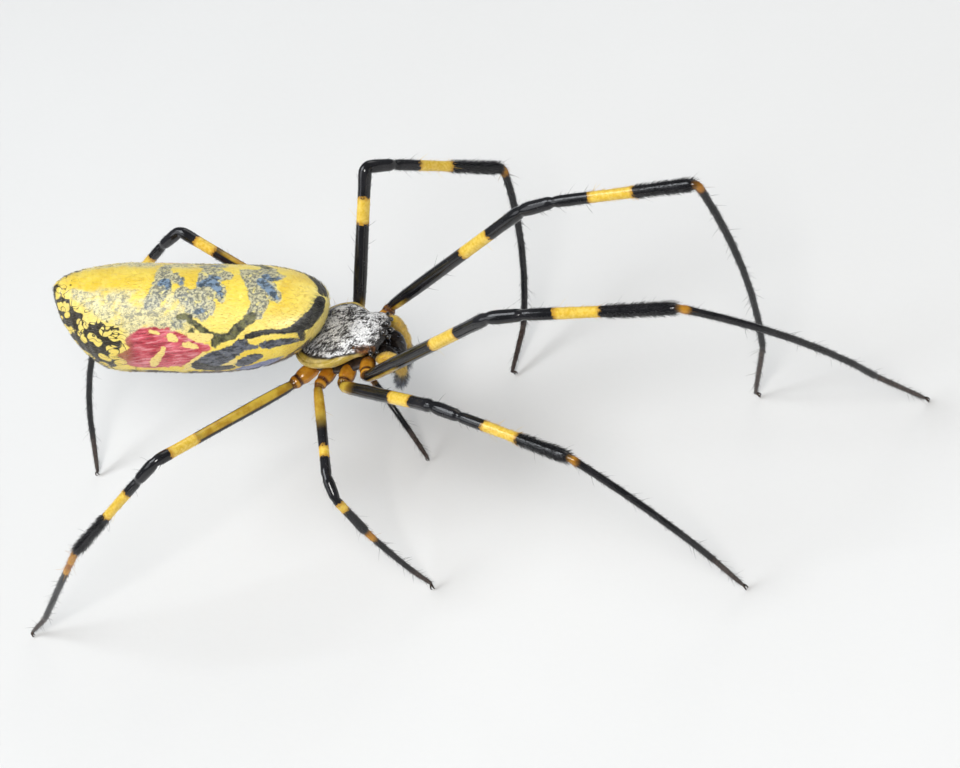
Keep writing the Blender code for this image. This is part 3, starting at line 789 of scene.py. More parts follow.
    # The tail: black with yellow drops that crowd together away from it
    maze = look.field("maze")
    drops = look.cells(1.55, "F1", (0.8, 1.0, 1.0), 0.10)
    loops = look.maths("ABSOLUTE", look.maths("SUBTRACT", look.noise(1.15, 0.0, (0.8, 1.0, 1.0), 1.6), 0.5))
    dark = look.ramp(look.maths("SUBTRACT", drops, look.ramp(maze, 0.0, 1.0, 1.00, 0.50)), -0.035, 0.035)
    thick = look.ramp(maze, 0.0, 0.9, 0.008, 0.030)
    dark = look.maths("MAXIMUM", dark, look.ramp(look.maths("SUBTRACT", loops, thick), -0.014, 0.014, 1.0, 0.0))
    free = look.maths("SUBTRACT", 1.0, look.maths("MULTIPLY", look.mask("red", 0.10, 0.70, 2.4), 0.8))
    dark = look.all_of(dark, look.ramp(maze, 0.02, 0.18), free)
    ground = look.mix(look.all_of(look.ramp(maze, 0.15, 0.45, 0.0, 0.85), free), ground, look.mix(cloud, (0.86, 0.62, 0.06), (0.90, 0.76, 0.22)))
    tail = look.mix(look.ramp(fine, 0.45, 0.7), (0.018, 0.013, 0.006), (0.05, 0.035, 0.012))
    ground = look.mix(dark, ground, tail)
    # Whitish streaks of the fine hairs that lie along the body: partly their pale colour, partly a painted sheen
    sheen = look.all_of(look.ramp(fine, 0.56, 0.74), look.ramp(look.noise(1.2, 3.0), 0.35, 0.65), 0.16)
    colour = look.mix(sheen, ground, (0.90, 0.88, 0.76))
    if hairs:
        pale = look.ramp(look.field("chance"), 0.2, 0.9, 0.02, 0.20)
        look.bump((fine, 0.002))
        return look.finish(look.mix(pale, colour, (0.92, 0.90, 0.84)), look.ramp(fine, 0.3, 0.7, 0.35, 0.5),
                           Sheen_Weight=0.04)
    look.bump((streak, 0.020), (fine, 0.010), (wrinkle, 0.012), (mottle, 0.010))
    roughness = look.ramp(streak, 0.3, 0.7, 0.28, 0.44)
    return look.finish(colour, roughness, Sheen_Weight=0.05, Coat_Weight=0.20, Coat_Roughness=0.24, IOR=1.45)


def add_abdomen():
    """The abdomen's one skin."""
    shaped_piece("abdomen_skin", abdomen_shape, abdomen_relief, from_abdomen, ABDOMEN_RINGS, ABDOMEN_AROUND,
                 abdomen_look("abdomen_skin"), ("abdomen",), abdomen_fields)


# The carapace and its eyes

CARAPACE_RINGS = 260
CARAPACE_AROUND = 300
SOCKET_RISE = 0.16
SOCKET_REACH = 0.30
FOVEA = (0.62, 0.0)         # place and angle of the thoracic pit
# Angle from the top down to which the silver hairs reach, by place
SILVER_PLACES = (0.0, 0.03, 0.12, 0.20, 0.27, 0.34, 0.42, 0.52, 0.64, 0.76, 0.90, 1.0)
SILVER_ANGLES = (48, 64, 76, 85, 88, 80, 66, 59, 55, 48, 38, 30)
FACE_PLACES = 0.010
# Dark mark behind the eyes: places along, angles from the top and half widths, on both sides
SIDE_MARKS = (
    ((0.245, -74, 0.04), (0.195, -78, 0.12), (0.13, -77, 0.14), (0.07, -82, 0.10)),
)
# Places where the silver hairs are thin
THIN_MARKS = (
    ((0.34, -16, 0.02), (0.42, -24, 0.06), (0.52, -30, 0.12), (0.62, -33, 0.30), (0.72, -38, 0.30)),
    ((0.80, -4, 0.28), (0.92, -8, 0.40)),
    ((0.56, 0, 0.03), (0.67, 0, 0.06)),
    ((0.45, -52, 0.05), (0.60, -50, 0.10)),
)


def carapace_shape(place, angle):
    """The shield over the head end: a raised head in front of a wider, lower thorax."""
    head_share = 1.0 - smooth((place - NECK_PLACE) / NECK_LENGTH)
    half_width = CARAPACE_HALF_WIDTH + (HEAD_HALF_WIDTH - CARAPACE_HALF_WIDTH) * head_share
    ends = rounded(place, *CARAPACE_SIDES)
    rise = THORAX_RISE + (HEAD_RISE - THORAX_RISE) * head_share
    height = rise * rounded(place, *CARAPACE_CREST)
    height = np.where(np.cos(angle) < 0.0, MARGIN_DROP * ends, height)
    along = CARAPACE_MIDDLE + CARAPACE_LENGTH * (0.5 - place)
    slope = REAR_DROP * smooth((place - 0.5) / 0.5)
    return np.stack([along, half_width * ends * np.sin(angle), height * np.cos(angle) - slope], -1)


def carapace_relief(place, angle):
    """Neck grooves, the pit, radial furrows, the rolled margin and a raised socket round each eye."""
    point = carapace_shape(place, angle)
    aside = np.abs(np.degrees(angle))
    top = 1.0 - smooth((aside - 70.0) / 25.0)
    height = np.full(place.shape, -0.02)
    groove = place - (0.60 - 0.0042 * aside)
    height -= 0.05 * top * bell(groove, 0.035) * smooth(aside / 8.0)
    height -= 0.08 * bell(place - FOVEA[0], 0.040) * bell(aside, 9.0)
    bearing = np.arctan2(point[..., 1], point[..., 0] + 0.75)
    thorax = smooth((place - 0.45) / 0.1) * (1.0 - smooth((place - 0.93) / 0.05)) * top
    height -= 0.035 * thorax * (0.5 + 0.5 * np.cos(6.0 * bearing)) * smooth(aside / 15.0)
    height += 0.05 * bell(aside - 96.0, 9.0) * smooth(place / 0.2)
    height += 0.30 * bell(aside - 116.0, 20.0) * smooth((place - 0.10) / 0.12) * (1.0 - smooth((place - 0.95) / 0.05))
    height -= 0.05 * bell(aside - 78.0, 7.0) * smooth((place - 0.3) / 0.2)
    for (x, y, z), radius in EYES.values():
        apart = np.linalg.norm(np.stack([point[..., 0] - x, np.abs(point[..., 1]) - y, point[..., 2] - z], -1), axis=-1)
        height += SOCKET_RISE * bell(np.maximum(apart - 0.9 * radius, 0.0), SOCKET_REACH * 0.5)
    return height


COAT_SEED = 7


def ripple(points, waves, rng):
    """A smooth random field of about this many waves a millimetre."""
    total = np.zeros(len(points))
    for _ in range(9):
        direction = unit(rng.normal(size=3)) * 2.0 * math.pi * waves * rng.uniform(0.6, 1.4)
        total += np.sin(points @ direction + rng.uniform(0.0, 2.0 * math.pi))
    return total / 2.1


def carapace_gaps(points):
    """Where the silver hairs are thin: dark specks of several sizes over the shield."""
    rng = np.random.default_rng(COAT_SEED + 1)
    flat = points.reshape(-1, 3)
    total = 0.45 * ripple(flat, 0.7, rng) + 0.65 * ripple(flat, 2.4, rng) + 0.75 * ripple(flat, 4.6, rng)
    return total.reshape(points.shape[:-1])


def carapace_fields(place, angle):
    """How far the silver hairs, the face and the margin reach."""
    aside = np.abs(np.degrees(angle))
    edge = np.interp(place, SILVER_PLACES, SILVER_ANGLES)
    point = carapace_shape(place, angle)
    near_eye = np.full(place.shape, 9.0)
    for (x, y, z), radius in EYES.values():
        apart = np.linalg.norm(np.stack([point[..., 0] - x, np.abs(point[..., 1]) - y, point[..., 2] - z], -1), axis=-1)
        near_eye = np.minimum(near_eye, apart - radius)
    face = 1.0 - smooth((place - FACE_PLACES) / 0.02)
    lateral = bell(np.maximum(place - 0.10, 0.0), 0.07) * smooth((aside - 82.0) / 14.0)
    mirrored = np.stack([point[..., 0], -np.abs(point[..., 1]), point[..., 2]], -1)
    side_mark = mark_distance(mirrored, SIDE_MARKS, carapace_shape)
    thin = mark_distance(mirrored, THIN_MARKS, carapace_shape)
    return {
        "silver": smooth((edge - aside) / 8.0 + 0.5) * (1.0 - face),
        "face": np.maximum(face, lateral),
        "mark": side_mark,
        "cover": smooth((0.55 - carapace_gaps(point) - 1.1 * smooth((0.30 - thin) / 0.6)) / 0.5),
        "eye_ring": near_eye,
        "margin": smooth((aside - edge - 4.0) / 10.0) * smooth((place - 0.15) / 0.10),
    }


def carapace_look():
    """Black shield under the hairs, with a glossy olive-yellow margin and a black face."""
    look = Look("carapace_skin")
    fine = look.noise(9.0, 4.0)
    cloud = look.noise(1.4, 4.0)
    base = look.mix(look.ramp(cloud, 0.38, 0.62), (0.016, 0.013, 0.012), (0.050, 0.044, 0.040))
    grain = look.ramp(look.noise(12.0, 3.0, (0.6, 1.0, 1.0)), 0.40, 0.47)
    silver = look.all_of(look.field("silver"), look.field("cover"), grain)
    base = look.mix(silver, base, (0.98, 0.97, 0.96))
    olive = look.mix(look.ramp(cloud, 0.4, 0.6), (0.48, 0.34, 0.055), (0.66, 0.50, 0.15))
    olive = look.mix(look.ramp(look.noise(2.0, 4.0), 0.52, 0.70, 0.0, 0.45), olive, (0.26, 0.17, 0.04))
    base = look.mix(look.field("margin"), base, olive)
    black = look.mix(look.ramp(fine, 0.45, 0.7), (0.006, 0.005, 0.005), (0.020, 0.015, 0.012))
    base = look.mix(look.field("face"), base, black)
    rust = look.mix(look.ramp(fine, 0.4, 0.6), (0.16, 0.045, 0.014), (0.34, 0.14, 0.03))
    ring = look.field("eye_ring")
    warm = look.all_of(look.ramp(look.field("mark"), 0.02, 0.24, 0.9, 0.0), look.ramp(cloud, 0.35, 0.6, 0.4, 1.0))
    base = look.mix(warm, base, rust)
    mark = look.mix(look.ramp(cloud, 0.42, 0.58), (0.02, 0.012, 0.008), (0.10, 0.040, 0.014))
    base = look.mix(look.mask("mark", 0.06, 0.25, 3.0), base, mark)
    base = look.mix(look.ramp(ring, 0.08, 0.22, 1.0, 0.0), base, (0.008, 0.007, 0.006))
    look.bump((fine, 0.006), (cloud, 0.012))
    return look.finish(base, look.ramp(fine, 0.3, 0.7, 0.15, 0.30), Coat_Weight=0.08, Coat_Roughness=0.10, IOR=1.42)


def eye_look():
    """Black glassy lens with a little amber in its depth."""
    look = Look("eye_lens")
    depth = look.noise(6.0, 2.0)
    colour = look.mix(look.ramp(depth, 0.45, 0.75), (0.004, 0.0035, 0.004), (0.022, 0.010, 0.004))
    look.bump((look.noise(14.0, 2.0), 0.0015))
    return look.finish(colour, look.ramp(depth, 0.3, 0.7, 0.035, 0.07), Coat_Weight=1.0, Coat_Roughness=0.02, IOR=1.55)


def ball_points(centre, radius, rings, around):
    """A plain round ball's points and faces, with its poles along X."""
    place, angle = ball_grid(rings, around)
    slope = np.arccos(1.0 - 2.0 * place)
    body = np.stack([np.cos(slope), np.sin(slope) * np.sin(angle), np.sin(slope) * np.cos(angle)], -1)
    points = np.concatenate([body.reshape(-1, 3), [[1.0, 0.0, 0.0], [-1.0, 0.0, 0.0]]])
    return points * radius + centre, grid_faces(rings, around)


def add_head_shield():
    """The carapace and the eight eyes."""
    shaped_piece("carapace_shell", carapace_shape, carapace_relief, from_shield, CARAPACE_RINGS, CARAPACE_AROUND,
                 carapace_look(), ("carapace",), carapace_fields)
    lens = eye_look()
    for name, ((x, y, z), radius) in EYES.items():
        for side, sign in (("left", 1.0), ("right", -1.0)):
            points, faces = ball_points(np.array((x, sign * y, z)), radius, 30, 40)
            add_piece(f"{name}_{side}_lens", from_shield(points), faces, lens, (f"{name}_{side}",))


# Legs

SEGMENT_NAMES = ("coxa", "femur", "patella", "tibia", "metatarsus", "tarsus")
LEG_IOR = 1.47              # low, so that the blacks stay deep over the pale floor
RING_SPACING = 0.13         # between two rings of a leg's skin
LEG_AROUND = 28
BOW_STEPS = 6
CORNER = 0.30               # length over which a joint's bend is rounded
HIP_FOLD = 0.72             # where the coxa's short second piece starts, as a share of its length
FOOT_HEIGHT = 0.42          # where the claws leave the tarsus
# Middle radius of coxa, femur, patella, tibia, metatarsus and tarsus, for each pair
SKIN_RADII = {
    1: (0.54, 0.43, 0.43, 0.36, 0.225, 0.17),
    2: (0.54, 0.43, 0.42, 0.35, 0.225, 0.17),
    3: (0.50, 0.34, 0.35, 0.29, 0.20, 0.16),
    4: (0.54, 0.39, 0.39, 0.32, 0.215, 0.165),
}
# Each segment's outline: share of its length and share of its middle radius
OUTLINES = {
    "coxa": ((0.0, 0.62), (0.18, 0.95), (0.5, 1.0), (0.66, 0.92), (0.72, 0.74), (0.76, 0.80), (0.88, 0.84), (1.0, 0.62)),
    "femur": ((0.0, 0.72), (0.025, 0.86), (0.10, 0.97), (0.25, 1.03), (0.6, 0.98), (0.85, 0.96), (0.95, 1.04), (0.985, 0.95),
              (1.0, 0.76)),
    "patella": ((0.0, 0.76), (0.08, 0.95), (0.3, 1.05), (0.6, 1.0), (0.9, 0.95), (1.0, 0.74)),
    "tibia": ((0.0, 0.80), (0.03, 1.0), (0.12, 1.05), (0.4, 0.97), (0.7, 1.04), (0.9, 1.10), (0.965, 1.0), (1.0, 0.66)),
    "metatarsus": ((0.0, 1.0), (0.02, 1.18), (0.08, 1.05), (0.4, 1.0), (0.85, 0.90), (0.985, 0.92), (1.0, 0.74)),
    "tarsus": ((0.0, 0.95), (0.04, 1.08), (0.4, 1.0), (0.85, 0.84), (1.0, 0.62)),
}
# Coloured stretches: pair or leg, then segment, start and end as shares of its length
YELLOW = {
    "right_1": (("femur", 0.57, 0.77), ("tibia", 0.205, 0.50)),
    "left_1": (("femur", 0.57, 0.77), ("tibia", 0.26, 0.57)),
    "right_2": (("femur", 0.56, 0.78), ("tibia", 0.225, 0.535)),
    "left_2": (("femur", 0.62, 0.80), ("tibia", 0.215, 0.51)),
    "right_3": (("femur", 0.675, 0.80), ("tibia", 0.08, 0.32)),
    "left_3": (("femur", 0.675, 0.80), ("tibia", 0.08, 0.32)),
    "right_4": (("femur", 0.70, 0.90), ("tibia", 0.16, 0.49)),
    "left_4": (("femur", 0.74, 0.88), ("tibia", 0.16, 0.49)),
}
ORANGE = {
    1: (("coxa", -0.2, 0.95), ("metatarsus", 0.0, 0.030)),
    2: (("coxa", -0.2, 0.95), ("metatarsus", 0.0, 0.035)),
    3: (("coxa", -0.2, 1.0), ("metatarsus", 0.0, 0.15)),
    4: (("coxa", -0.2, 1.0), ("metatarsus", 0.0, 0.28)),
}
# Olive-orange at the femur's root: share of its length, then its pull to the upper side and its spread,
# so that -1 and 0.6 put it underneath and 0 and 1 all round
ROOTS = {
    "right_1": (0.26, -1.0, 0.6), "right_2": (0.12, 0.0, 1.0), "right_3": (0.40, 0.0, 1.0), "right_4": (0.72, 1.0, -0.52),
    "left_1": (0.10, -1.0, 0.4), "left_2": (0.06, -1.0, 0.6), "left_3": (0.40, 0.0, 1.0), "left_4": (0.70, 1.0, -0.62),
}
BROWN = {1: ("tarsus", 0.0, 1.2), 2: ("tarsus", -0.1, 1.2), 3: ("tarsus", -0.4, 1.2), 4: ("tarsus", -0.2, 1.2)}
BRUSH = {1: (0.52, 0.97, 0.56), 2: (0.50, 0.97, 0.54), 4: (0.50, 0.97, 0.42)}


def leg_directions(leg):
    """Side of a leg, its level heading and the upward direction of its leaning plane."""
    side = -1.0 if leg.startswith("right") else 1.0
    heading, lean = (math.radians(value) for value in LEG_POSES[leg][:2])
    ahead = np.array((math.cos(heading), side * math.sin(heading), 0.0))
    sideways = np.cross((0.0, 0.0, 1.0), ahead)
    upward = math.cos(lean) * np.array((0.0, 0.0, 1.0)) + math.sin(lean) * sideways
    return side, ahead, upward


def leg_joints(leg, swing):
    """Joint centres from the hip to the foot, with the bowed metatarsus as a list of its own."""
    side, ahead, upward = leg_directions(leg)
    slopes = [math.radians(value) + swing for value in LEG_POSES[leg][2:]]
    femur, patella, tibia, bow_start, bow_end, tarsus = slopes
    lengths = LEG_LENGTHS[int(leg[-1])]
    hip = HIPS[leg]
    here = from_head((hip[0], side * hip[1], hip[2]))
    joints = [here]
    for length, slope in zip(lengths[:3], (femur, patella, tibia)):
        here = here + length * (math.cos(slope) * ahead + math.sin(slope) * upward)
        joints.append(here)
    bow = [here]
    for step in range(BOW_STEPS):
        slope = bow_start + (bow_end - bow_start) * (step + 0.5) / BOW_STEPS
        here = here + lengths[3] / BOW_STEPS * (math.cos(slope) * ahead + math.sin(slope) * upward)
        bow.append(here)
    foot = here + lengths[4] * (math.cos(tarsus) * ahead + math.sin(tarsus) * upward)
    return joints, bow, foot


def settled_leg(leg):
    """The leg swung about its hip until its foot stands on the floor."""
    below, above = sorted((-SWING_LIMIT, SWING_LIMIT), key=lambda swing: leg_joints(leg, swing)[2][2])
    for _ in range(40):
        middle = 0.5 * (below + above)
        if leg_joints(leg, middle)[2][2] > 0.0:
            above = middle
        else:
            below = middle
    return leg_joints(leg, 0.5 * (below + above))


def rounded_line(knots, counts):
    """Points along straight stretches whose corners are rounded, with the stretch and share of each point."""
    points, stretch, share = [], [], []
    for index in range(len(knots) - 1):
        start, end = knots[index], knots[index + 1]
        length = np.linalg.norm(end - start)
        shares = np.linspace(0.0, 1.0, counts[index], endpoint=index == len(knots) - 2)
        for value in shares:
            reach = min(CORNER, 0.4 * length)
            before, after = value * length, (1.0 - value) * length
            place = start + (end - start) * value
            if before < reach and index > 0:
                place = corner_point(knots[index - 1:index + 2], reach, 0.5 + 0.5 * before / reach)
            if after < reach and index < len(knots) - 2:
                place = corner_point(knots[index:index + 3], reach, 0.5 - 0.5 * after / reach)
            points.append(place)
            stretch.append(index)
            share.append(value)
    return np.array(points), np.array(stretch), np.array(share)


def corner_point(corner, reach, share):
    """A point on the curve that rounds one corner."""
    before, middle, after = corner
    start = middle + unit(before - middle) * reach
    end = middle + unit(after - middle) * reach
    return (1.0 - share) ** 2 * start + 2.0 * share * (1.0 - share) * middle + share ** 2 * end


def leg_knots(leg):
    """Knots of the leg's middle line, and which segment each stretch belongs to."""
    pair = int(leg[-1])
    side = leg_directions(leg)[0]
    joints, bow, foot = settled_leg(leg)
    root = COXA_ROOTS[pair]
    start = from_head((root[0], side * root[1], root[2]))
    sole = np.array((foot[0], foot[1], FOOT_HEIGHT))
    knots = [start, *joints, *bow[1:], sole]
    names = ["coxa", "femur", "patella", "tibia"] + ["metatarsus"] * BOW_STEPS + ["tarsus"]
    return knots, names


def leg_line(leg):
    """The leg's middle line with radius, directions, segment and share at each ring."""
    pair = int(leg[-1])
    knots, names = leg_knots(leg)
    counts = [max(8, round(np.linalg.norm(b - a) / RING_SPACING)) for a, b in zip(knots[:-1], knots[1:])]
    points, stretch, share = rounded_line(knots, counts)
    ahead = unit(np.gradient(points, axis=0))
    level, upward = leg_directions(leg)[1:]
    plane = np.cross(level, upward)
    aside = unit(plane - (ahead @ plane)[:, None] * ahead)
    segment = np.array([SEGMENT_NAMES.index(names[index]) for index in stretch])
    metatarsus = SEGMENT_NAMES.index("metatarsus")
    bow = segment == metatarsus
    share[bow] = (share[bow] + stretch[bow] - names.index("metatarsus")) / BOW_STEPS
    radius = np.empty(len(points))
    for index, name in enumerate(SEGMENT_NAMES):
        chosen = segment == index
        radius[chosen] = SKIN_RADII[pair][index] * np.interp(share[chosen], *np.array(OUTLINES[name]).T)
    return {"points": points, "ahead": ahead, "aside": aside, "above": np.cross(aside, ahead), "segment": segment,
            "share": share, "radius": softened(radius), "arc": arc_lengths(points)}


def softened(values):
    """The values with their sharp corners eased."""
    eased = values.copy()
    eased[1:-1] = 0.25 * values[:-2] + 0.5 * values[1:-1] + 0.25 * values[2:]
    return eased


def arc_lengths(points):
    """Length along a line up to each of its points."""
    return np.concatenate([[0.0], np.cumsum(np.linalg.norm(np.diff(points, axis=0), axis=1))])


def zone_distance(line, zones):
    """Distance along the leg to the nearest of the given stretches, negative inside."""
    nearest = np.full(len(line["arc"]), 9.0)
    for name, start, end in zones:
        chosen = line["segment"] == SEGMENT_NAMES.index(name)
        arc, share = line["arc"][chosen], line["share"][chosen]
        slope, middle = np.polyfit(share, arc, 1)
        low, high = slope * start + middle, slope * end + middle
        nearest = np.minimum(nearest, np.maximum(low - line["arc"], line["arc"] - high))
    return nearest


def joint_distance(line):
    """Distance along the leg to the nearest joint or fold of the hip."""
    folds = (np.diff(line["segment"]) != 0) | (np.diff((line["segment"] == 0) & (line["share"] > HIP_FOLD)) == 1)
    ends = line["arc"][1:][folds]
    return np.abs(line["arc"][:, None] - ends[None]).min(1)


def leg_fields(leg, line):
    """Colour zones and joints along one leg."""
    pair = int(leg[-1])
    return {
        "yellow": zone_distance(line, YELLOW[leg]),
        "orange": zone_distance(line, ORANGE[pair]),
        "brown": zone_distance(line, (BROWN[pair],)),
        "joint": joint_distance(line),
        "root": zone_distance(line, (("coxa", -0.2, 1.0), ("femur", 0.0, ROOTS[leg][0]))),
        "root_pull": ROOTS[leg][1] * (line["segment"] > 0),
        "root_spread": np.where(line["segment"] > 0, ROOTS[leg][2], 1.0),
    }


def ring_points(line, angle):
    """Points round a line's rings, by angle from its upper side."""
    outward = line["above"][:, None] * np.cos(angle)[None, :, None] + line["aside"][:, None] * np.sin(angle)[None, :, None]
    return line["points"][:, None] + outward * line["radius"][:, None, None]


def add_tube(name, line, around, material, replaces, fields):
    """A closed skin round a line, each of whose ends is rounded off to a point."""
    angle = np.linspace(0.0, 2.0 * math.pi, around, endpoint=False)
    body = ring_points(line, angle)
    start = line["points"][0] - line["ahead"][0] * 0.4 * line["radius"][0]
    end = line["points"][-1] + line["ahead"][-1] * 0.6 * line["radius"][-1]
    points = np.concatenate([body.reshape(-1, 3), [start, end]])
    values = {key: np.concatenate([np.repeat(value, around), value[[0, -1]]]) for key, value in fields.items()}
    values["top"] = np.concatenate([np.tile(np.cos(angle), len(line["points"])), [0.0, 0.0]])
    return add_piece(name, points, grid_faces(len(line["points"]), around), material, replaces, values)


def leg_colour(look):
    """Glossy black with yellow bands, orange roots and brown feet, shared by skins and hairs."""
    fine = look.noise(5.0, 4.0)
    cloud = look.noise(0.9, 3.0)
    black = look.mix(look.ramp(cloud, 0.35, 0.7), (0.006, 0.006, 0.007), (0.016, 0.015, 0.017))
    brown = look.mix(look.ramp(fine, 0.35, 0.65), (0.028, 0.018, 0.015), (0.070, 0.050, 0.042))
    colour = look.mix(look.mask("brown", 0.5, 0.8, 0.8), black, brown)
    facing = look.maths("MULTIPLY", look.field("root_pull"), look.field("top"))
    facing = look.maths("ADD", facing, look.field("root_spread"))
    olive = look.mix(look.ramp(cloud, 0.35, 0.65), (0.38, 0.20, 0.012), (0.62, 0.42, 0.05))
    rooted = look.all_of(look.ramp(look.field("root"), -1.0, 0.8, 1.0, 0.0), look.ramp(facing, 0.02, 0.30))
    colour = look.mix(rooted, colour, olive)
    yellow = look.mix(look.ramp(fine, 0.35, 0.65), (0.72, 0.46, 0.040), (0.84, 0.60, 0.11))
    band = look.field("yellow")
    yellow = look.mix(look.ramp(band, -0.30, -0.02, 0.0, 0.7), yellow, (0.46, 0.20, 0.02))
    colour = look.mix(look.mask("yellow", 0.07, 0.75, 5.0), colour, yellow)
    orange = look.mix(look.ramp(cloud, 0.35, 0.65), (0.34, 0.12, 0.008), (0.60, 0.29, 0.026))
    colour = look.mix(look.mask("orange", 0.25, 0.5, 1.5), colour, orange)
    return colour, fine


def leg_look():
    """The skin of a leg."""
    look = Look("leg_skin")
    colour, fine = leg_colour(look)
    membrane_and_shade = look.mix(look.ramp(fine, 0.4, 0.6), (0.025, 0.008, 0.005), (0.085, 0.030, 0.016))
    hip = look.ramp(look.field("root"), -0.1, 0.1, 1.0, 0.0)
    colour = look.mix(look.all_of(hip, look.ramp(look.field("joint"), 0.04, 0.22, 0.95, 0.0)), colour, membrane_and_shade)
    # Painted shade: the undersides of the orange coxae and metatarsus roots darkened toward the joint membranes' brown
    shaded = look.all_of(look.mask("orange", 0.1), look.ramp(look.field("top"), -0.85, -0.25, 0.9, 0.0))
    colour = look.mix(shaded, colour, membrane_and_shade)
    pits = look.ramp(look.cells(5.0), 0.08, 0.22, 1.0, 0.0)
    look.bump((fine, 0.0012), (pits, 0.002), (look.noise(1.3, 2.0), 0.005))
    roughness = look.ramp(fine, 0.3, 0.7, 0.10, 0.17)
    return look.finish(colour, roughness, IOR=LEG_IOR)


def claw_points(foot, heading, aside, reach):
    """One curved claw's middle line, from the tarsus down to the floor."""
    start = np.array((foot[0], foot[1], FOOT_HEIGHT - 0.02))
    out = heading * reach + aside
    knots = [start, start + 0.55 * out + (0.0, 0.0, -0.03), start + out + (0.0, 0.0, -0.22),
             start + 0.75 * out + (0.0, 0.0, -FOOT_HEIGHT + 0.05)]
    return np.array(knots)


def tube_line(knots, radii, samples, hint):
    """A smooth line through knots, with directions and an eased radius."""
    places = np.linspace(0.0, len(knots) - 1.0, samples)
    points = catmull(np.asarray(knots, float), places)
    ahead = unit(np.gradient(points, axis=0))
    hint = np.asarray(hint, float)
    aside = unit(hint - (ahead @ hint)[:, None] * ahead)
    radius = catmull(np.asarray(radii, float)[:, None], places)[:, 0]
    return {"points": points, "ahead": ahead, "aside": aside, "above": np.cross(aside, ahead), "radius": radius,
            "arc": arc_lengths(points), "share": places / (len(knots) - 1.0)}


def catmull(knots, places):
    """Values of a smooth curve through the knots."""
    padded = np.concatenate([[2 * knots[0] - knots[1]], knots, [2 * knots[-1] - knots[-2]]])
    index = np.minimum(places.astype(int), len(knots) - 2)
    t = (places - index)[:, None]
    a, b, c, d = (padded[index + step] for step in range(4))
    return 0.5 * (2 * b + (c - a) * t + (2 * a - 5 * b + 4 * c - d) * t ** 2 + (3 * b - a - 3 * c + d) * t ** 3)


def horn_look(name, dark, light, ior=1.45, coat=0.2):
    """Smooth dark horn."""
    look = Look(name)
    grain = look.noise(4.0, 3.0)
    look.bump((look.noise(10.0, 3.0), 0.002))
    colour = look.mix(look.ramp(grain, 0.35, 0.65), dark, light)
    return look.finish(colour, look.ramp(grain, 0.3, 0.7, 0.14, 0.24), Coat_Weight=coat, Coat_Roughness=0.08,
                       IOR=ior)


def joined(parts):
    """One set of points and faces from several."""
    points, faces, first = [], [], 0
    for part_points, part_faces in parts:
        points.append(part_points)
        faces += [block + first for block in part_faces]
        first += len(part_points)
    return np.concatenate(points), faces


def tube_part(line, around):
    """Points and faces of a closed tube round a line."""
    angle = np.linspace(0.0, 2.0 * math.pi, around, endpoint=False)
    body = ring_points(line, angle).reshape(-1, 3)
    start = line["points"][0] - line["ahead"][0] * 0.4 * line["radius"][0]
    end = line["points"][-1] + line["ahead"][-1] * 0.6 * line["radius"][-1]
    return np.concatenate([body, [start, end]]), grid_faces(len(line["points"]), around)


def add_claws(leg, foot, horn):
    """Two side claws and a middle one, standing on the floor."""
    level = leg_directions(leg)[1]
    across = np.cross((0.0, 0.0, 1.0), level)
    parts = []
    for aside, reach in ((0.10, 0.24), (-0.10, 0.24), (0.0, 0.10)):
        path = claw_points(foot, level, across * aside, reach)
        parts.append(tube_part(tube_line(path, (0.075, 0.06, 0.045, 0.02), 16, across), 10))
    points, faces = joined(parts)
    points[:, 2] = np.maximum(points[:, 2], 0.0)
    add_piece(f"claws_{leg}", points, faces, horn)


LINES = {leg: leg_line(leg) for leg in LEG_POSES}


def add_legs():
    """One skin for each leg, from coxa to foot, and its claws."""
    skin = leg_look()
    horn = horn_look("claw_horn", (0.012, 0.008, 0.006), (0.05, 0.028, 0.016))
    for leg, line in LINES.items():
        nodes = [f"{name}_{leg}" for name in SEGMENT_NAMES[:-1]]
        add_tube(f"leg_{leg}_skin", line, LEG_AROUND, skin, nodes, leg_fields(leg, line))
        add_claws(leg, settled_leg(leg)[2], horn)


def outlined(line, outline):
    """The line with its radius scaled by an outline of (share, factor)."""
    places, factors = np.array(outline).T
    return dict(line, radius=softened(line["radius"] * np.interp(line["share"], places, factors)))


# Head parts

CHELICERA_SKIN = (0.40, 0.54, 0.49, 0.27)
CHELICERA_OUTLINE = ((0.0, 0.9), (0.25, 1.04), (0.6, 1.0), (0.85, 1.0), (1.0, 0.92))
FANG_PATH = ((2.98, 0.50, -2.95), (3.02, 0.36, -3.22), (2.93, 0.14, -3.36), (2.80, 0.02, -3.30))
FANG_RADII = (0.20, 0.16, 0.10, 0.02)
PALP_SKIN = (0.20, 0.31, 0.32, 0.31, 0.33, 0.15)
PALP_OUTLINE = ((0.0, 0.9), (0.10, 0.85), (0.14, 1.05), (0.36, 1.0), (0.42, 0.82), (0.46, 1.05), (0.54, 1.0),
                (0.58, 0.84), (0.62, 1.04), (0.72, 1.04), (0.76, 0.86), (0.80, 1.0), (0.92, 1.0), (1.0, 0.8))
PALP_DARK_SHARE = 0.76
WALL_SIZE = (5.6, 4.6, 1.0)
WALL_CENTRE = (0.05, 0.0, -1.30)
SPINNERETS = (
    ((0.42, 0.36, 0.10), (-0.16, 0.16, -0.92), 1.6, 0.32),
    ((0.02, 0.16, 0.05), (-0.38, 0.03, -0.90), 1.2, 0.18),
    ((-0.40, 0.33, 0.20), (-0.62, 0.12, -0.74), 1.5, 0.29),
)


def add_joined(name, parts, material, replaces=()):
    """One piece from several closed parts in the head's frame."""
    points, faces = joined(parts)
    add_piece(name, from_head(points), faces, material, replaces)


def head_tube(knots, radii, samples, outline, around=32):
    """A tube in the head's frame."""
    line = outlined(tube_line(knots, radii, samples, (0.0, 1.0, 0.05)), outline)
    return tube_part(line, around)


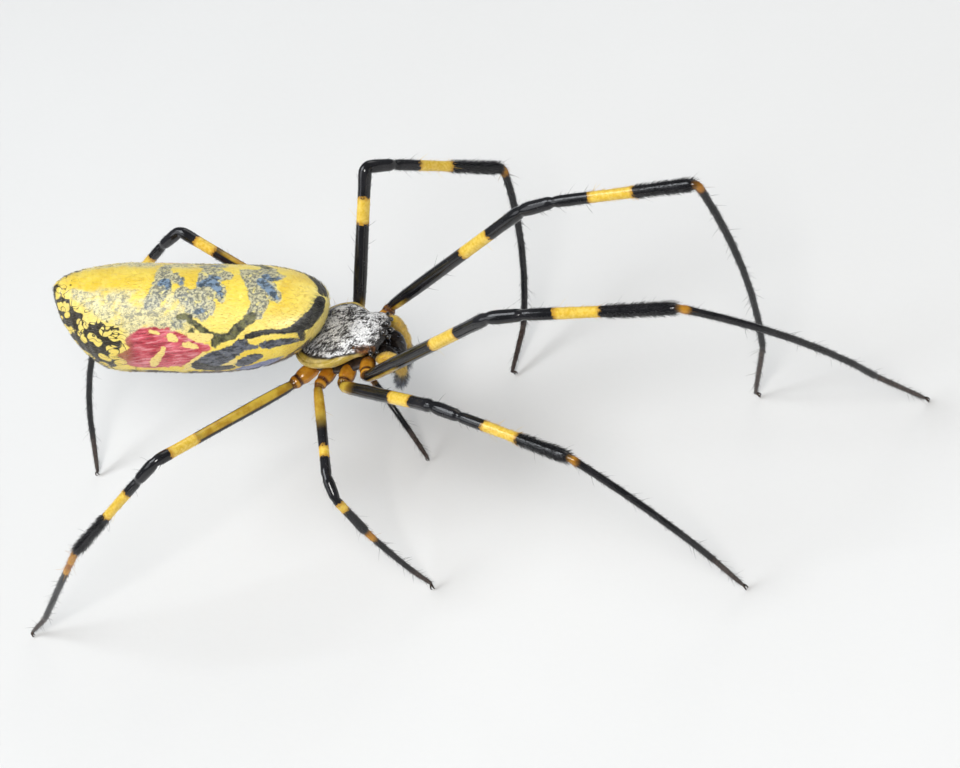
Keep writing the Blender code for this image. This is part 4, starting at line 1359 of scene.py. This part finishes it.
def palp_look():
    """Orange-yellow palp with a dark, hairy end."""
    look = Look("palp_skin")
    fine = look.noise(4.0, 4.0)
    cloud = look.noise(1.2, 3.0)
    orange = look.mix(look.ramp(cloud, 0.35, 0.65), (0.56, 0.30, 0.018), (0.78, 0.54, 0.060))
    dark = look.mix(look.ramp(fine, 0.35, 0.65), (0.020, 0.018, 0.018), (0.07, 0.065, 0.07))
    colour = look.mix(look.field("dark"), orange, dark)
    look.bump((fine, 0.012), (cloud, 0.015))
    return look.finish(colour, look.ramp(fine, 0.3, 0.7, 0.24, 0.40), Coat_Weight=0.12, Coat_Roughness=0.15, IOR=1.4)


def palp_line(side):
    """The middle line of a palp, in the head's frame."""
    line = tube_line(PALP_PATHS[side], PALP_SKIN, 90, (0.0, 1.0, 0.05))
    return outlined(line, PALP_OUTLINE)


def turned_line(line):
    """A line of the head's frame, in the spider's frame."""
    moved = {key: line[key] @ HEAD_TURN.T for key in ("ahead", "aside", "above")}
    return dict(line, points=from_head(line["points"]), **moved)


def plate_shape(size, centre, bend):
    """A domed plate as shape(place, angle)."""
    def shape(place, angle):
        across = np.sqrt(np.clip(1.0 - (2.0 * place - 1.0) ** 2, 0.0, 1.0))
        width = 0.5 * size[1] * across * (1.0 + bend * (0.5 - place))
        x = size[0] * (0.5 - place)
        return np.stack([x, width * np.sin(angle), 0.5 * size[2] * across ** 0.7 * np.cos(angle)], -1) + centre
    return shape


def sternum_relief(place, angle):
    """A keel and the raised places beside each leg."""
    aside = np.abs(np.degrees(angle))
    under = smooth((aside - 100.0) / 30.0)
    height = 0.05 * under * np.cos(2.0 * math.pi * place * 4.0) * bell(aside - 135.0, 18.0)
    return height - 0.03 + 0.04 * under * bell(aside - 180.0, 12.0)


def flat_fields(place, angle):
    """How far each point is from the middle line underneath."""
    return {"keel": bell(np.abs(np.degrees(angle)) - 180.0, 26.0) * smooth((1.0 - place) / 0.25)}


def under_look(name, keel_colour):
    """Dark brown plates underneath, with a lighter stripe along the middle."""
    look = Look(name)
    fine = look.noise(5.0, 4.0)
    brown = look.mix(look.ramp(fine, 0.35, 0.65), (0.012, 0.008, 0.006), (0.045, 0.024, 0.014))
    stripe = look.mix(look.ramp(look.noise(2.0, 3.0), 0.35, 0.65), keel_colour, (0.60, 0.36, 0.07))
    colour = look.mix(look.field("keel"), brown, stripe)
    look.bump((fine, 0.015))
    return look.finish(colour, look.ramp(fine, 0.3, 0.7, 0.28, 0.45), Coat_Weight=0.2, Coat_Roughness=0.2)


def add_head_parts():
    """Jaws with fangs, palps, mouth plates, breastplate and waist."""
    black = horn_look("chelicera_skin", (0.005, 0.004, 0.004), (0.016, 0.012, 0.010), 1.32, 0.0)
    fang_horn = horn_look("fang_horn", (0.035, 0.008, 0.005), (0.11, 0.025, 0.012))
    palp_skin = palp_look()
    for side, sign in (("left", 1.0), ("right", -1.0)):
        flip = np.array((1.0, sign, 1.0))
        jaw = head_tube((np.array(CHELICERA_PATH) * flip) @ SHIELD_TURN.T, CHELICERA_SKIN, 60, CHELICERA_OUTLINE, 40)
        add_joined(f"chelicera_{side}_skin", [jaw], black, (f"chelicera_{side}",))
        fang = head_tube((np.array(FANG_PATH) * flip) @ SHIELD_TURN.T, FANG_RADII, 30, ((0.0, 1.0), (1.0, 1.0)), 18)
        add_joined(f"fang_{side}", [fang], fang_horn)
        line = turned_line(palp_line(side))
        dark = smooth((line["share"] - PALP_DARK_SHARE) / 0.06)
        add_tube(f"palp_{side}_skin", line, 32, palp_skin, (f"palp_{side}",), {"dark": dark})
    mouth = under_look("mouth_plates", (0.40, 0.25, 0.08))
    plates = []
    for x, y, length, width in ((0.0, 0.40, 1.05, 0.68), (0.0, -0.40, 1.05, 0.68), (-0.13, 0.0, 0.7, 0.5)):
        centre = np.array(MOUTH_CENTRE) + (x, y, 0.0)
        plates.append(plate_part(plate_shape((length, width, 0.5), centre, 0.2), 40, 48))
    points, faces = joined([part[:2] for part in plates])
    keel = np.concatenate([part[2] for part in plates])
    add_piece("mouth_plates", from_shield(points), faces, mouth, ("mouthparts",), {"keel": keel})
    shape = plate_shape(STERNUM_SIZE, np.array(STERNUM_CENTRE), 0.55)
    shaped_piece("breastplate", shape, sternum_relief, from_head, 90, 100, under_look("breastplate", (0.45, 0.26, 0.05)),
                 ("sternum",), flat_fields)
    wall = plate_part(plate_shape(WALL_SIZE, np.array(WALL_CENTRE), 0.1), 70, 90)
    wall_skin = under_look("side_wall", (0.05, 0.025, 0.014))
    add_piece("side_wall", from_head(wall[0]), wall[1], wall_skin, (), {"keel": 0.0 * wall[2]})
    waist = np.linspace(WAIST_START, WAIST_END, 4)
    waist[0, 0] += 0.3
    waist[-1] += (-0.25, 0.0, 0.25)
    rings = tuple((share, 1.0 + 0.1 * (index % 2)) for index, share in enumerate(np.linspace(0.0, 1.0, 9)))
    stalk = head_tube(waist, (0.30, 0.27, 0.27, 0.30), 60, rings)
    add_joined("waist", [stalk], horn_look("waist_horn", (0.05, 0.025, 0.012), (0.16, 0.085, 0.03)),
               ("pedicel",))


def plate_part(shape, rings, around):
    """Points, faces and keel share of one domed plate."""
    place, angle = ball_grid(rings, around)
    body = shape(place, angle)
    points = np.concatenate([body.reshape(-1, 3), [body[0].mean(0), body[-1].mean(0)]])
    keel = bell(np.abs(np.degrees(angle)) - 180.0, 30.0) * (1.0 - smooth((place - 0.1) / 0.3))
    return points, grid_faces(rings, around), np.concatenate([keel.ravel(), [1.0, 0.0]])


def spinneret_look():
    """Brownish spinnerets with pale pinkish patches."""
    look = Look("spinneret_skin")
    fine = look.noise(6.0, 4.0)
    brown = look.mix(look.ramp(fine, 0.35, 0.65), (0.07, 0.035, 0.022), (0.20, 0.11, 0.07))
    colour = look.mix(look.ramp(look.noise(1.1, 3.0), 0.45, 0.62), brown, (0.42, 0.26, 0.19))
    look.bump((fine, 0.02), (look.noise(2.0, 2.0, (0.5, 0.5, 3.0)), 0.03))
    return look.finish(colour, look.ramp(fine, 0.3, 0.7, 0.38, 0.55), Coat_Weight=0.1, Coat_Roughness=0.3)


def add_spinnerets():
    """Three pairs of spinnerets, and the small cone behind them."""
    foot = abdomen_shape(np.array(SPINNERET_SHARE), np.array(math.pi))
    outline = ((0.0, 1.05), (0.5, 1.0), (0.56, 0.86), (0.60, 0.98), (0.9, 0.94), (1.0, 0.7))
    parts = []
    for root, direction, length, radius in SPINNERETS:
        for sign in (1.0, -1.0):
            flip = np.array((1.0, sign, 1.0))
            start = foot + np.array(root) * flip
            along = unit(np.array(direction)) * flip
            knots = np.array([start - along * 0.5, start + along * 0.3 * length, start + along * 0.8 * length,
                              start + along * length + (0.05, -0.08 * sign, 0.0)])
            line = tube_line(knots, (1.1 * radius, radius, 0.7 * radius, 0.35 * radius), 40, (0.0, 1.0, 0.05))
            parts.append(tube_part(outlined(line, outline), 24))
    behind = foot + np.array((-1.0, 0.0, 0.6))
    knots = np.array([behind + (0.5, 0.0, 0.4), behind, behind + (-0.35, 0.0, -0.35)])
    parts.append(tube_part(tube_line(knots, (0.4, 0.32, 0.12), 24, (0.0, 1.0, 0.0)), 24))
    points, faces = joined(parts)
    add_piece("spinneret_cones", from_abdomen(points), faces, spinneret_look(), ("spinnerets",))


# Coats



def scattered(shape, relief, count, chance, rng):
    """Even random roots on a closed shape, thinned by chance(place, angle)."""
    tries = 14 * count
    place = rng.random(tries)
    angle = rng.uniform(-math.pi, math.pi, tries)
    step = 1e-3
    along = shape(np.clip(place + step, 0.0, 1.0), angle) - shape(np.clip(place - step, 0.0, 1.0), angle)
    around = shape(place, angle + step) - shape(place, angle - step)
    area = np.linalg.norm(np.cross(along, around), axis=-1)
    kept = rng.random(tries) * np.quantile(area, 0.98) < area * chance(place, angle)
    place, angle = place[kept][:count], angle[kept][:count]
    normal = shape_normals(shape, place, angle)
    return place, angle, shape(place, angle) + normal * relief(place, angle)[:, None], normal


def combed(direction, normal, wander, rng):
    """The lie of each hair: a direction held to the surface, with some disorder."""
    loose = direction + wander * rng.normal(size=normal.shape)
    return unit(loose - (loose * normal).sum(-1, keepdims=True) * normal)


def in_frame(to_frame, points, *directions):
    """Points and directions moved to the spider's frame."""
    moved = to_frame(points)
    return (moved, *(to_frame(points + way) - moved for way in directions))


def square_unwrap(place, angle):
    """Roots on a square, by place along and angle round."""
    return np.stack([0.02 + 0.96 * place, 0.5 + 0.48 * angle / math.pi], -1)


def spread_of(rng, count, low, high):
    """Even random numbers between two limits."""
    return rng.uniform(low, high, count)


def abdomen_coat():
    """Short silvery hairs that lie toward the tail, longer on the front rim."""
    rng = np.random.default_rng(COAT_SEED)
    place, angle, root, normal = scattered(abdomen_shape, abdomen_relief, 17000,
                                           lambda along, round_: 0.4 + 0.6 * bell(along, 0.12), rng)
    lie = combed(np.array((-1.0, 0.0, -0.1)), normal, 0.22, rng)
    root, normal, lie = in_frame(from_abdomen, root, normal, lie)
    count = len(root)
    length = spread_of(rng, count, 0.20, 0.34) + 0.14 * bell(place, 0.08)
    fields = abdomen_fields(place, angle)
    fields["chance"] = rng.random(count)
    hair_piece("abdomen_coat", root, normal, lie, length, spread_of(rng, count, 0.008, 0.013),
               spread_of(rng, count, 0.15, 0.45), 0.7, 2, square_unwrap(place, angle), fields,
               abdomen_look("abdomen_coat", True))


def carapace_coat():
    """Silver-white hairs pressed to the shield, salted with dark ones."""
    rng = np.random.default_rng(COAT_SEED + 2)

    def chance(place, angle):
        fields = carapace_fields(place, angle)
        bare = (1.0 - 0.9 * smooth((0.12 - fields["mark"]) / 0.2)) * smooth((fields["eye_ring"] - 0.08) / 0.14)
        return fields["silver"] * bare

    place, angle, root, normal = scattered(carapace_shape, carapace_relief, 6500, chance, rng)
    forward = np.stack([np.full(len(root), 1.0), -0.45 * np.sign(root[:, 1]), np.full(len(root), 0.0)], -1)
    lie = combed(forward, normal, 0.45, rng)
    marks = carapace_fields(place, angle)
    root, normal, lie = in_frame(from_shield, root, normal, lie)
    count = len(root)
    silver = smooth((marks["mark"] - 0.05) / 0.15) * (rng.random(count) < 0.06 + 0.90 * marks["cover"])
    fields = {"silver": silver, "chance": rng.random(count)}
    hair_piece("carapace_coat", root, normal, lie, spread_of(rng, count, 0.16, 0.30), spread_of(rng, count, 0.012, 0.020),
               spread_of(rng, count, 0.08, 0.36), 0.8, 2, square_unwrap(place, angle), fields,
               carapace_coat_look())


def carapace_coat_look():
    """Silver-white hairs, some of them dark."""
    look = Look("carapace_coat")
    chance = look.field("chance")
    silver = look.mix(look.ramp(chance, 0.0, 1.0), (0.84, 0.83, 0.82), (1.0, 0.99, 0.98))
    dark = look.mix(look.ramp(chance, 0.0, 1.0), (0.014, 0.012, 0.012), (0.06, 0.055, 0.05))
    fine = look.noise(10.0, 2.0)
    colour = look.mix(look.maths("MULTIPLY", look.field("silver"), look.ramp(fine, 0.2, 0.4, 0.85, 1.0)), dark, silver)
    look.bump((fine, 0.002))
    return look.finish(colour, look.ramp(look.field("tip"), 0.0, 1.0, 0.38, 0.52), Sheen_Weight=0.15)


def leg_roots(line, count, chance, rng):
    """Random roots along a leg, as ring places and angles."""
    places = rng.uniform(0.0, len(line["points"]) - 1.001, 4 * count)
    weight = chance(line, places) * np.interp(places, np.arange(len(line["radius"])), line["radius"])
    kept = rng.random(len(places)) * np.max(line["radius"]) < weight
    places = places[kept][:count]
    return places, rng.uniform(-math.pi, math.pi, len(places))


def at_rings(values, places):
    """Values between rings."""
    below = places.astype(int)
    share = places - below
    if values.ndim == 2:
        share = share[:, None]
    return values[below] * (1.0 - share) + values[below + 1] * share


def leg_hairs(legs, count, chance, rng):
    """Roots, directions, unwrap and fields of hairs on several legs."""
    parts = []
    for index, leg in enumerate(legs):
        line = LINES[leg]
        places, angle = leg_roots(line, count[leg], chance, rng)
        ahead = unit(at_rings(line["ahead"], places))
        above, aside = at_rings(line["above"], places), at_rings(line["aside"], places)
        normal = unit(above * np.cos(angle)[:, None] + aside * np.sin(angle)[:, None])
        root = at_rings(line["points"], places) + normal * at_rings(line["radius"], places)[:, None]
        marks = {key: at_rings(value, places) for key, value in leg_fields(leg, line).items()}
        marks["top"] = np.cos(angle)
        marks["segment"] = at_rings(line["segment"].astype(float), places)
        along = at_rings(line["arc"], places) / line["arc"][-1]
        strip = (index + 0.5 + 0.42 * angle / math.pi) / len(legs)
        unwrap = np.stack([0.02 + 0.96 * along, strip], -1)
        parts.append((root, normal, ahead, unwrap, marks))
    root, normal, ahead, unwrap = (np.concatenate([part[item] for part in parts]) for item in range(4))
    marks = {key: np.concatenate([part[4][key] for part in parts]) for key in parts[0][4]}
    return root, normal, ahead, unwrap, marks


def leg_coat_look():
    """Fine hairs in the colours of the leg below them."""
    look = Look("leg_coat")
    colour, fine = leg_colour(look)
    lit = look.mix(look.all_of(look.ramp(look.field("chance"), 0.90, 0.95), 0.25), colour, (0.30, 0.28, 0.26))
    look.bump((fine, 0.002))
    return look.finish(lit, look.ramp(look.field("tip"), 0.0, 1.0, 0.34, 0.5), IOR=LEG_IOR)


def fine_chance(line, places):
    """Fine hairs are sparse on the coxa and thick toward the tibia."""
    segment = line["segment"][places.astype(int)]
    return np.array((0.10, 0.10, 0.12, 0.50, 1.0, 1.0))[segment]


def brush_chance(pair):
    """The bristles of the tibia's far half."""
    start, end, _ = BRUSH[pair]

    def chance(line, places):
        index = places.astype(int)
        tibia = line["segment"][index] == SEGMENT_NAMES.index("tibia")
        share = line["share"][index]
        return tibia * smooth((share - start + 0.04) / 0.08) * smooth((end - share + 0.02) / 0.04)

    return chance


def above_floor(hairs, length):
    """Leaves out the hairs that would reach the floor."""
    root, normal, ahead, unwrap, marks = hairs
    kept = root[:, 2] + np.minimum(ahead[:, 2], 0.0) * length > 0.10
    marks = {key: value[kept] for key, value in marks.items()}
    return root[kept], normal[kept], ahead[kept], unwrap[kept], marks


def add_leg_coats():
    """Fine hairs on every leg, bristle brushes on the tibiae and long spines."""
    rng = np.random.default_rng(COAT_SEED + 3)
    coat = leg_coat_look()
    share = {1: 3000, 2: 2300, 3: 1000, 4: 2000}
    for side in ("right", "left"):
        legs = [leg for leg in LINES if leg.startswith(side)]
        hairs = leg_hairs(legs, {leg: share[int(leg[-1])] for leg in legs}, fine_chance, rng)
        root, normal, ahead, unwrap, marks = above_floor(hairs, 0.4)
        count = len(root)
        marks["chance"] = rng.random(count)
        lie = combed(ahead, normal, 0.14, rng)
        hair_piece(f"leg_coat_{side}", root, normal, lie, spread_of(rng, count, 0.16, 0.32),
                   spread_of(rng, count, 0.006, 0.010), spread_of(rng, count, 0.30, 0.75), 0.6, 2, unwrap, marks,
                   coat)
    add_brushes(rng, coat)
    add_spines(rng, coat)


def add_brushes(rng, coat):
    """The thick black bristles of the first, second and fourth tibiae."""
    parts = []
    legs = [leg for leg in LINES if int(leg[-1]) in BRUSH]
    for index, leg in enumerate(legs):
        pair = int(leg[-1])
        hairs = leg_hairs([leg], {leg: 3000}, brush_chance(pair), rng)
        hairs[3][:, 1] = (index + hairs[3][:, 1]) / len(legs)
        parts.append(hairs)
    root, normal, ahead, unwrap = (np.concatenate([part[item] for part in parts]) for item in range(4))
    marks = {key: np.concatenate([part[4][key] for part in parts]) for key in parts[0][4]}
    marks["chance"] = rng.random(len(root)) * 0.74
    count = len(root)
    lie = combed(ahead, normal, 0.16, rng)
    hair_piece("tibia_brushes", root, normal, lie, spread_of(rng, count, 0.22, 0.44), spread_of(rng, count, 0.010, 0.016),
               spread_of(rng, count, 0.36, 0.72), 0.35, 2, unwrap, marks, coat)


def add_spines(rng, coat):
    """Long thin spines here and there on the legs."""
    legs = list(LINES)
    hairs = leg_hairs(legs, {leg: 70 for leg in legs}, fine_chance, rng)
    root, normal, ahead, unwrap, marks = above_floor(hairs, 1.0)
    count = len(root)
    marks["chance"] = rng.random(count) * 0.7
    lie = combed(ahead, normal, 0.12, rng)
    hair_piece("leg_spines", root, normal, lie, spread_of(rng, count, 0.45, 0.95), spread_of(rng, count, 0.008, 0.014),
               spread_of(rng, count, 0.6, 1.1), 0.25, 4, unwrap, marks, coat)


def head_hair_look():
    """Dark hairs of the face and pale ones on the palps."""
    look = Look("head_hairs")
    chance = look.field("chance")
    dark = look.mix(look.ramp(look.noise(5.0, 2.0), 0.3, 0.7), (0.012, 0.012, 0.014), (0.05, 0.05, 0.055))
    dark = look.mix(look.ramp(chance, 0.45, 0.85), dark, (0.22, 0.25, 0.32))
    pale = look.mix(look.ramp(chance, 0.0, 1.0), (0.66, 0.42, 0.05), (0.82, 0.64, 0.24))
    look.bump((look.noise(10.0, 2.0), 0.002))
    colour = look.mix(look.field("pale"), dark, pale)
    return look.finish(colour, look.ramp(look.field("tip"), 0.0, 1.0, 0.34, 0.5), Sheen_Weight=0.1)


def tube_hairs(line, count, rng):
    """Random roots on a tube: ring places, roots, normals and directions along it."""
    places = rng.uniform(0.0, len(line["points"]) - 1.001, count)
    angle = rng.uniform(-math.pi, math.pi, count)
    ahead = unit(at_rings(line["ahead"], places))
    above, aside = at_rings(line["above"], places), at_rings(line["aside"], places)
    normal = unit(above * np.cos(angle)[:, None] + aside * np.sin(angle)[:, None])
    root = at_rings(line["points"], places) + normal * at_rings(line["radius"], places)[:, None]
    along = at_rings(line["share"], places)
    return root, normal, ahead, along, angle


def add_head_hairs():
    """Hairs on the palps and jaws."""
    rng = np.random.default_rng(COAT_SEED + 4)
    groups = []
    for row, side in enumerate(("left", "right")):
        line = turned_line(palp_line(side))
        root, normal, ahead, along, angle = tube_hairs(line, 3200, rng)
        dark = smooth((along - PALP_DARK_SHARE) / 0.06)
        groups.append((root, normal, ahead, along, angle, 1.0 - dark, 0.18 + 0.30 * dark, row))
        flip = np.array((1.0, 1.0 if side == "left" else -1.0, 1.0))
        knots = (np.array(CHELICERA_PATH) * flip) @ SHIELD_TURN.T
        jaw = outlined(tube_line(knots, CHELICERA_SKIN, 60, (0.0, 1.0, 0.05)), CHELICERA_OUTLINE)
        root, normal, ahead, along, angle = tube_hairs(turned_line(jaw), 110, rng)
        groups.append((root, normal, ahead, along, angle, np.zeros(len(root)), np.full(len(root), 0.30), row + 2))
    root, normal, ahead, along, angle, pale, reach = (np.concatenate([g[item] for g in groups]) for item in range(7))
    rows = np.concatenate([np.full(len(g[0]), g[7]) for g in groups])
    count = len(root)
    unwrap = np.stack([0.02 + 0.96 * along, (rows + 0.5 + 0.42 * angle / math.pi) / 4.0], -1)
    lie = combed(ahead, normal, 0.2, rng)
    fields = {"pale": pale, "chance": rng.random(count)}
    hair_piece("head_hairs", root, normal, lie, reach * spread_of(rng, count, 0.7, 1.3),
               spread_of(rng, count, 0.008, 0.015), spread_of(rng, count, 0.4, 0.9), 0.4, 3, unwrap, fields,
               head_hair_look())


add_lights()
add_floor()
add_abdomen()
add_head_shield()
add_head_parts()
add_spinnerets()
add_legs()
abdomen_coat()
carapace_coat()
add_leg_coats()
add_head_hairs()
